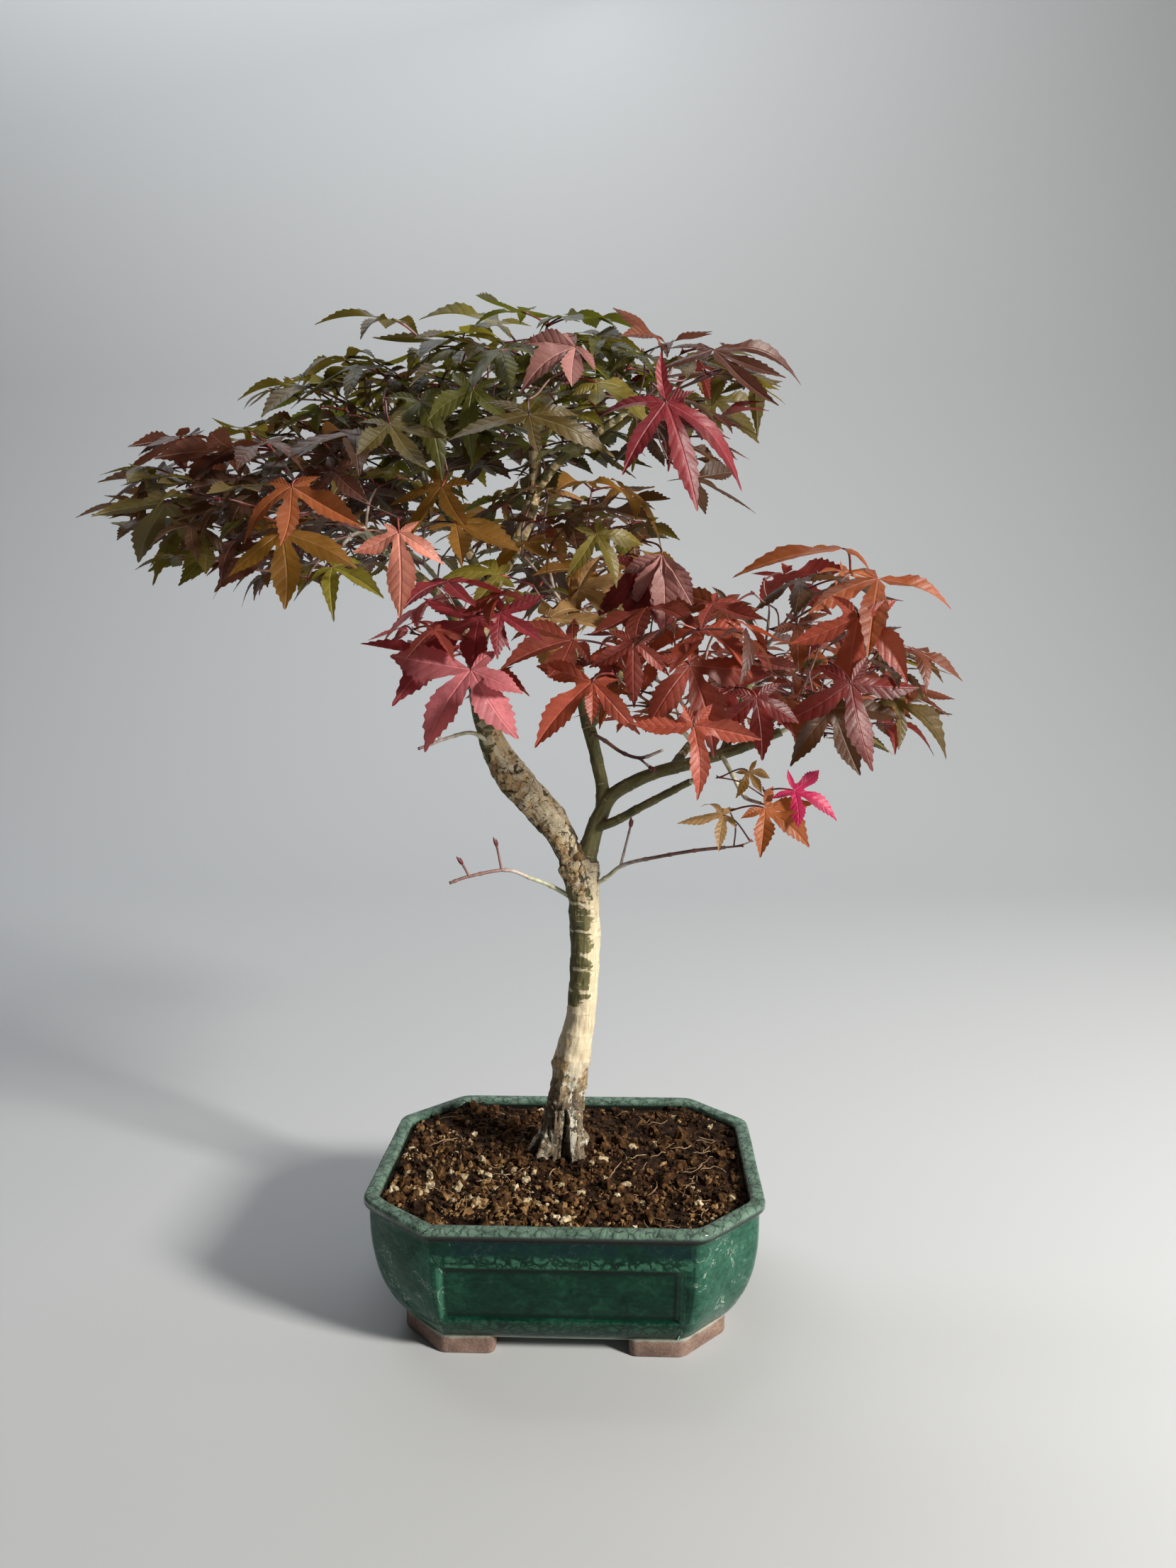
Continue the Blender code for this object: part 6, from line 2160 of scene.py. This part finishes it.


# %% [markdown]
# Autumn colour is a few plain tints. Each finish starts from one of them, drifts to a
# second in soft blotches and towards the rim, and draws the pale midribs and side veins
# from each lobe's own coordinates. One half of every lobe gets painted shade, as if the
# fold turned it from the sky, and the other half gets a painted pale sheen in blotches. A
# share of light passes through, so leaves with the light behind them glow.

# %% Leaf finishes
RED, BRONZE, GREEN = "red_leaves", "bronze_leaves", "green_leaves"
THROUGH = 0.28
# slot, main tint, second tint, the light that comes through
TINTS = {
    "crimson": (RED, (0.22, 0.024, 0.033), (0.11, 0.011, 0.012), (0.46, 0.05, 0.05)),
    "garnet": (RED, (0.135, 0.016, 0.014), (0.060, 0.011, 0.006), (0.46, 0.05, 0.03)),
    "rose": (RED, (0.60, 0.175, 0.195), (0.26, 0.020, 0.032), (0.72, 0.13, 0.12)),
    "blush": (RED, (0.42, 0.190, 0.170), (0.19, 0.050, 0.040), (0.40, 0.15, 0.11)),
    "salmon": (RED, (0.62, 0.240, 0.175), (0.38, 0.080, 0.044), (0.78, 0.26, 0.13)),
    "coral": (RED, (0.34, 0.064, 0.036), (0.17, 0.024, 0.012), (0.66, 0.13, 0.05)),
    "scarlet": (RED, (0.215, 0.036, 0.024), (0.098, 0.022, 0.011), (0.50, 0.09, 0.04)),
    "russet": (RED, (0.145, 0.034, 0.014), (0.066, 0.026, 0.008), (0.45, 0.11, 0.03)),
    "chestnut": (RED, (0.086, 0.031, 0.021), (0.044, 0.020, 0.011), (0.30, 0.09, 0.04)),
    "orange": (RED, (0.31, 0.086, 0.027), (0.18, 0.032, 0.012), (0.66, 0.21, 0.04)),
    "magenta": (RED, (0.46, 0.018, 0.085), (0.30, 0.012, 0.035), (0.75, 0.03, 0.14)),
    "wine": (RED, (0.10, 0.012, 0.013), (0.22, 0.055, 0.050), (0.40, 0.04, 0.04)),
    "bronze": (BRONZE, (0.066, 0.030, 0.017), (0.034, 0.020, 0.009), (0.26, 0.11, 0.03)),
    "amber": (BRONZE, (0.19, 0.082, 0.014), (0.10, 0.056, 0.010), (0.60, 0.28, 0.03)),
    "tan": (BRONZE, (0.36, 0.215, 0.095), (0.20, 0.09, 0.030), (0.65, 0.38, 0.12)),
    "olive": (GREEN, (0.096, 0.070, 0.017), (0.062, 0.032, 0.008), (0.32, 0.24, 0.03)),
    "moss": (GREEN, (0.044, 0.037, 0.0065), (0.048, 0.024, 0.006), (0.22, 0.18, 0.02)),
    "leafgreen": (GREEN, (0.066, 0.064, 0.0095), (0.050, 0.036, 0.007), (0.30, 0.31, 0.03)),
    "lime": (GREEN, (0.165, 0.138, 0.020), (0.105, 0.068, 0.013), (0.48, 0.41, 0.04)),
}


def toned(colour, by, lift=0):
    """A colour darker or lighter by a factor, then lifted, and never quite white."""
    return tuple(min(0.9, c * by + lift) for c in colour)


def leaf_finish(name, main, second, glow):
    finish = Finish("maple_leaf_" + name)
    uv = finish.node("ShaderNodeUVMap", {"uv_map": "veins"})
    along = finish.node("ShaderNodeSeparateXYZ", {}, {0: uv}, out=0)
    across = finish.node("ShaderNodeSeparateXYZ", {}, {0: uv}, out=1) - 0.5
    aside = abs(across)
    saw = finish.node("ShaderNodeMath", {"operation": "PINGPONG"}, {
        0: (along - aside * VEIN_SLANT) * SIDE_VEINS, 1: 0.5})
    midrib = finish.fall(aside, 0.004, 0.016)
    side_vein = finish.fall(saw, 0.02, 0.11) * finish.fall(aside, 0.10, 0.16)
    shade, rim = finish.carried("shade"), finish.carried("rim")
    blotch, fine = finish.grain(9, 3, 0.6), finish.grain(1.1, 3, 0.6)
    # which half of each lobe gets painted shade: one side of the midrib, swapped by the lobe's number
    side = finish.rise(across, -0.004, 0.004)
    flip = finish.rise(finish.carried("lean"), 0.46, 0.54)
    away = side + flip - side * flip * 2
    dim = toned(main, 0.42)
    colour = finish.coats(main, (
        (finish.rise(blotch * 0.9 + rim * 0.25 + shade * 0.45, 0.55, 1.05), second),
        (finish.rise(1 - shade, 0.45, 1) * 0.55, dim),
        (finish.rise(fine + blotch * 0.4, 0.80, 0.98) * 0.35, toned(second, 0.5)),
        # painted shade over one half of each lobe
        (away * 0.42, dim),
        # a painted pale sheen in blotches on the other half
        ((1 - away) * finish.rise(blotch + fine * 0.4, 0.56, 0.86) * 0.42, toned(main, 1.45, 0.014)),
        (midrib * 0.5 + side_vein * 0.05, toned(main, 1.35, 0.05))))
    rough = 0.35 + fine * 0.16 + rim * 0.06
    height = finish.rise(saw, 0, 0.35) * 0.40 - midrib * 0.8 + fine * 0.45 + blotch * 0.8
    material = finish.show(colour, rough, height, 0.28, gloss=0.34)
    through = finish.node("ShaderNodeBsdfTranslucent", {}, {"Color": glow})
    mixed = finish.node("ShaderNodeMixShader", {}, {
        0: THROUGH, 1: Tone(finish, finish.shader.outputs[0]), 2: through})
    finish.feed(finish.tree.nodes["Material Output"].inputs["Surface"], mixed)
    return material


def hang_leaves():
    by_tint = {}
    for number, (name, mass) in enumerate(masses.items()):
        for k, leaf in enumerate(mass.leaves):
            leaf["seed"] = number * 1000 + k
            leaf["mass"] = name
            by_tint.setdefault(leaf["tint"], []).append(leaf)
    for tint, leaves in sorted(by_tint.items()):
        slot, *tones = TINTS[tint]
        owners = sorted({leaf["mass"] for leaf in leaves})
        add_piece("leaves_" + tint, leaf_mesh("leaves_" + tint, leaves),
                  leaf_finish(tint, *tones), slot, owners)


hang_leaves()

# %% [markdown]
# ## Stalks, fine twigs and buds
# Each leaf hangs on a thin red stalk that leaves its twig at a joint, and the twigs end
# in pairs of small pointed buds. They are pipes of a few sides in their hundreds, so
# they are worked out as arrays and joined, each kind in a mesh of its own.

# %% Fine twigs
FINEST_TWIG, THICKENING, FINE_JOINTS = 0.46, 0.36, 11


def pipe(points, radii, sides):
    verts, faces = tube([Vector(p) for p in points], radii, sides)
    return np.array(verts), faces


def fine_twigs():
    """Every branch of every mass as a smooth tapering pipe with swollen joints."""
    pipes, young = [], []
    for mass in masses.values():
        twigs = mass.twigs
        for row in twigs.branches:
            sizes = [FINEST_TWIG * max(1, twigs.loads[i]) ** THICKENING for i in row]
            sizes[0] = sizes[1]
            line = [Vector((*twigs.points[i], size)) for i, size in zip(row, sizes)]
            if row[0] == 0:
                line.insert(0, Vector((*(twigs.points[0] - twigs.heads[0] * 4), sizes[0])))
            smooth = jointed(curve_through(line, 4), FINE_JOINTS)[::2]
            if len(smooth) >= 3:
                sides = 7 if sizes[0] > 0.9 else 6
                pipes.append(pipe([p.xyz for p in smooth], [p.w for p in smooth], sides))
                young.append(np.repeat([1 - ease(p.w, 0.5, 1.35) for p in smooth], sides))
    mesh = joined("fine_twigs", pipes)
    store(mesh, "young", np.concatenate(young))
    return mesh


# %% [markdown]
# A stalk bends twice: it leaves the twig upwards and meets the blade from behind. It is
# a curve through four points, thicker where it clasps the twig. Buds are short spindles.

# %% Stalks and buds
STALK_STEPS = 10
BUD = ((0, 0.40), (0.16, 0.74), (0.42, 0.86), (0.70, 0.58), (0.90, 0.22), (1, 0.03))


def stalk_pipe(leaf):
    frame, foot, rng = leaf["frame"], leaf["foot"], random.Random(leaf["seed"] + 3)
    centre, axis, up = frame.translation, frame.to_3x3().col[0], frame.to_3x3().col[2]
    span = (centre - foot).length
    first = foot + (centre - foot) * 0.35 + Vector((0, 0, 1)) * span * rng.uniform(0.02, 0.12)
    last = centre - axis * span * 0.30 - up * span * 0.04
    thick = 0.30 + 0.006 * leaf["length"]
    line, radii = [], []
    for k in range(STALK_STEPS + 1):
        t = k / STALK_STEPS
        a, b, c = foot.lerp(first, t), first.lerp(last, t), last.lerp(centre + axis * 0.6, t)
        line.append(a.lerp(b, t).lerp(b.lerp(c, t), t))
        radii.append(thick * (1 + 0.5 * max(0, 1 - k / 1.5) + 0.25 * max(0, t - 0.9) * 10))
    radii[-1] = thick * 0.6
    return pipe(line, radii, 6)


def bud(foot, heading, size, fat=1):
    line = [foot + heading * size * along for along, _ in BUD]
    return pipe(line, [wide * fat * (0.34 + size * 0.105) for _, wide in BUD], 6)


def bud_pipes():
    """A pair of buds at each twig's end, singles beside its joints, and those on the spurs."""
    rng = random.Random(23)
    pipes = []
    for twigs in (mass.twigs for mass in masses.values()):
        for row in twigs.branches:
            tip, ahead = twigs.points[row[-1]], twigs.heads[row[-1]]
            aside = ahead.orthogonal().normalized()
            aside.rotate(Matrix.Rotation(rng.uniform(0, math.tau), 3, ahead))
            size = rng.uniform(1.5, 2.6)
            for sign in (-1, 1):
                pipes.append(bud(tip - ahead * 0.3, (ahead + aside * sign * 0.45).normalized(), size))
            for node in row[1:-1]:
                if rng.random() < 0.45:
                    head = (twigs.heads[node] + aside * rng.choice((-0.8, 0.8))).normalized()
                    pipes.append(bud(twigs.points[node], head, rng.uniform(1.3, 2.1)))
    for foot, tip in SPURS:
        foot, tip = Vector(foot), Vector(tip)
        ahead = (tip - foot).normalized()
        aside = ahead.cross(Vector((0, 1, 0))).normalized()
        for sign, long in ((-1, 4.2), (1, 5.6)):
            heading = (ahead + aside * sign * 0.14).normalized()
            pipes.append(bud(tip - ahead * 0.8, heading, long, 1.25))
    return pipes


# %% [markdown]
# Last come the dead rootlets and shreds of bark that lie on the soil. Each wanders from
# a random place at the soil's own height, and those that reach the stem or the wall are
# thrown away.

# %% Rootlets on the soil
def fibre_pipes():
    rng = random.Random(31)
    pipes = []
    while len(pipes) < 75:
        x, y = rng.uniform(-84, 84), rng.uniform(-64, 64)
        course, turn = rng.uniform(0, math.tau), rng.uniform(-0.22, 0.22)
        line = []
        for _ in range(rng.randrange(5, 12)):
            line.append((x, y, bed_height(x, y) + rng.uniform(0.9, 2.2)))
            course += turn + rng.uniform(-0.25, 0.25)
            x += math.cos(course) * 2.2
            y += math.sin(course) * 2.2
        if all(in_plan(a, b, 10) and math.hypot(a - STEM_X, b - STEM_Y) > 12 for a, b, _ in line):
            thick = rng.uniform(0.12, 0.34)
            pipes.append(pipe(line, [thick] * (len(line) - 1) + [thick * 0.4], 5))
    return pipes


# %% [markdown]
# Stalks and buds share a way to be painted: one patchy noise picks the colour from dark
# to light and roughens the surface a little.

# %% Finishes of the small parts
def patchy(name, clumps, stops, roughness, more, depth):
    """A finish from one noise, which picks the colour, adds roughness and gives the relief."""
    finish = Finish(name)
    patch = finish.grain(*clumps)
    return finish.show(finish.ramp(patch, stops), roughness + patch * more, patch, depth)


red_stalk = patchy("red_leaf_stalk", (7, 2, 0.5), (
    (0.36, (0.040, 0.010, 0.009)), (0.50, (0.105, 0.015, 0.014)), (0.66, (0.25, 0.040, 0.024))),
    0.36, 0.1, 0.1)
bud_scale = patchy("purple_bud_scales", (0.9, 3, 0.6), (
    (0.35, (0.050, 0.010, 0.014)), (0.65, (0.20, 0.030, 0.034))), 0.40, 0.15, 0.15)
rootlet = earth("dry_rootlets", (0.10, 0.055, 0.028), (0.26, 0.16, 0.09), (0.46, 0.34, 0.22), 6)
stalks = [stalk_pipe(leaf) for mass in masses.values() for leaf in mass.leaves]
add_piece("fine_twigs", fine_twigs(), YOUNG_BARK, "bough_bark")
add_piece("leaf_stalks", joined("leaf_stalks", stalks), red_stalk, "red_leaves")
add_piece("buds", joined("buds", bud_pipes()), bud_scale, "bough_bark")
add_piece("soil_fibres", joined("soil_fibres", fibre_pipes()), rootlet, "granular_soil")
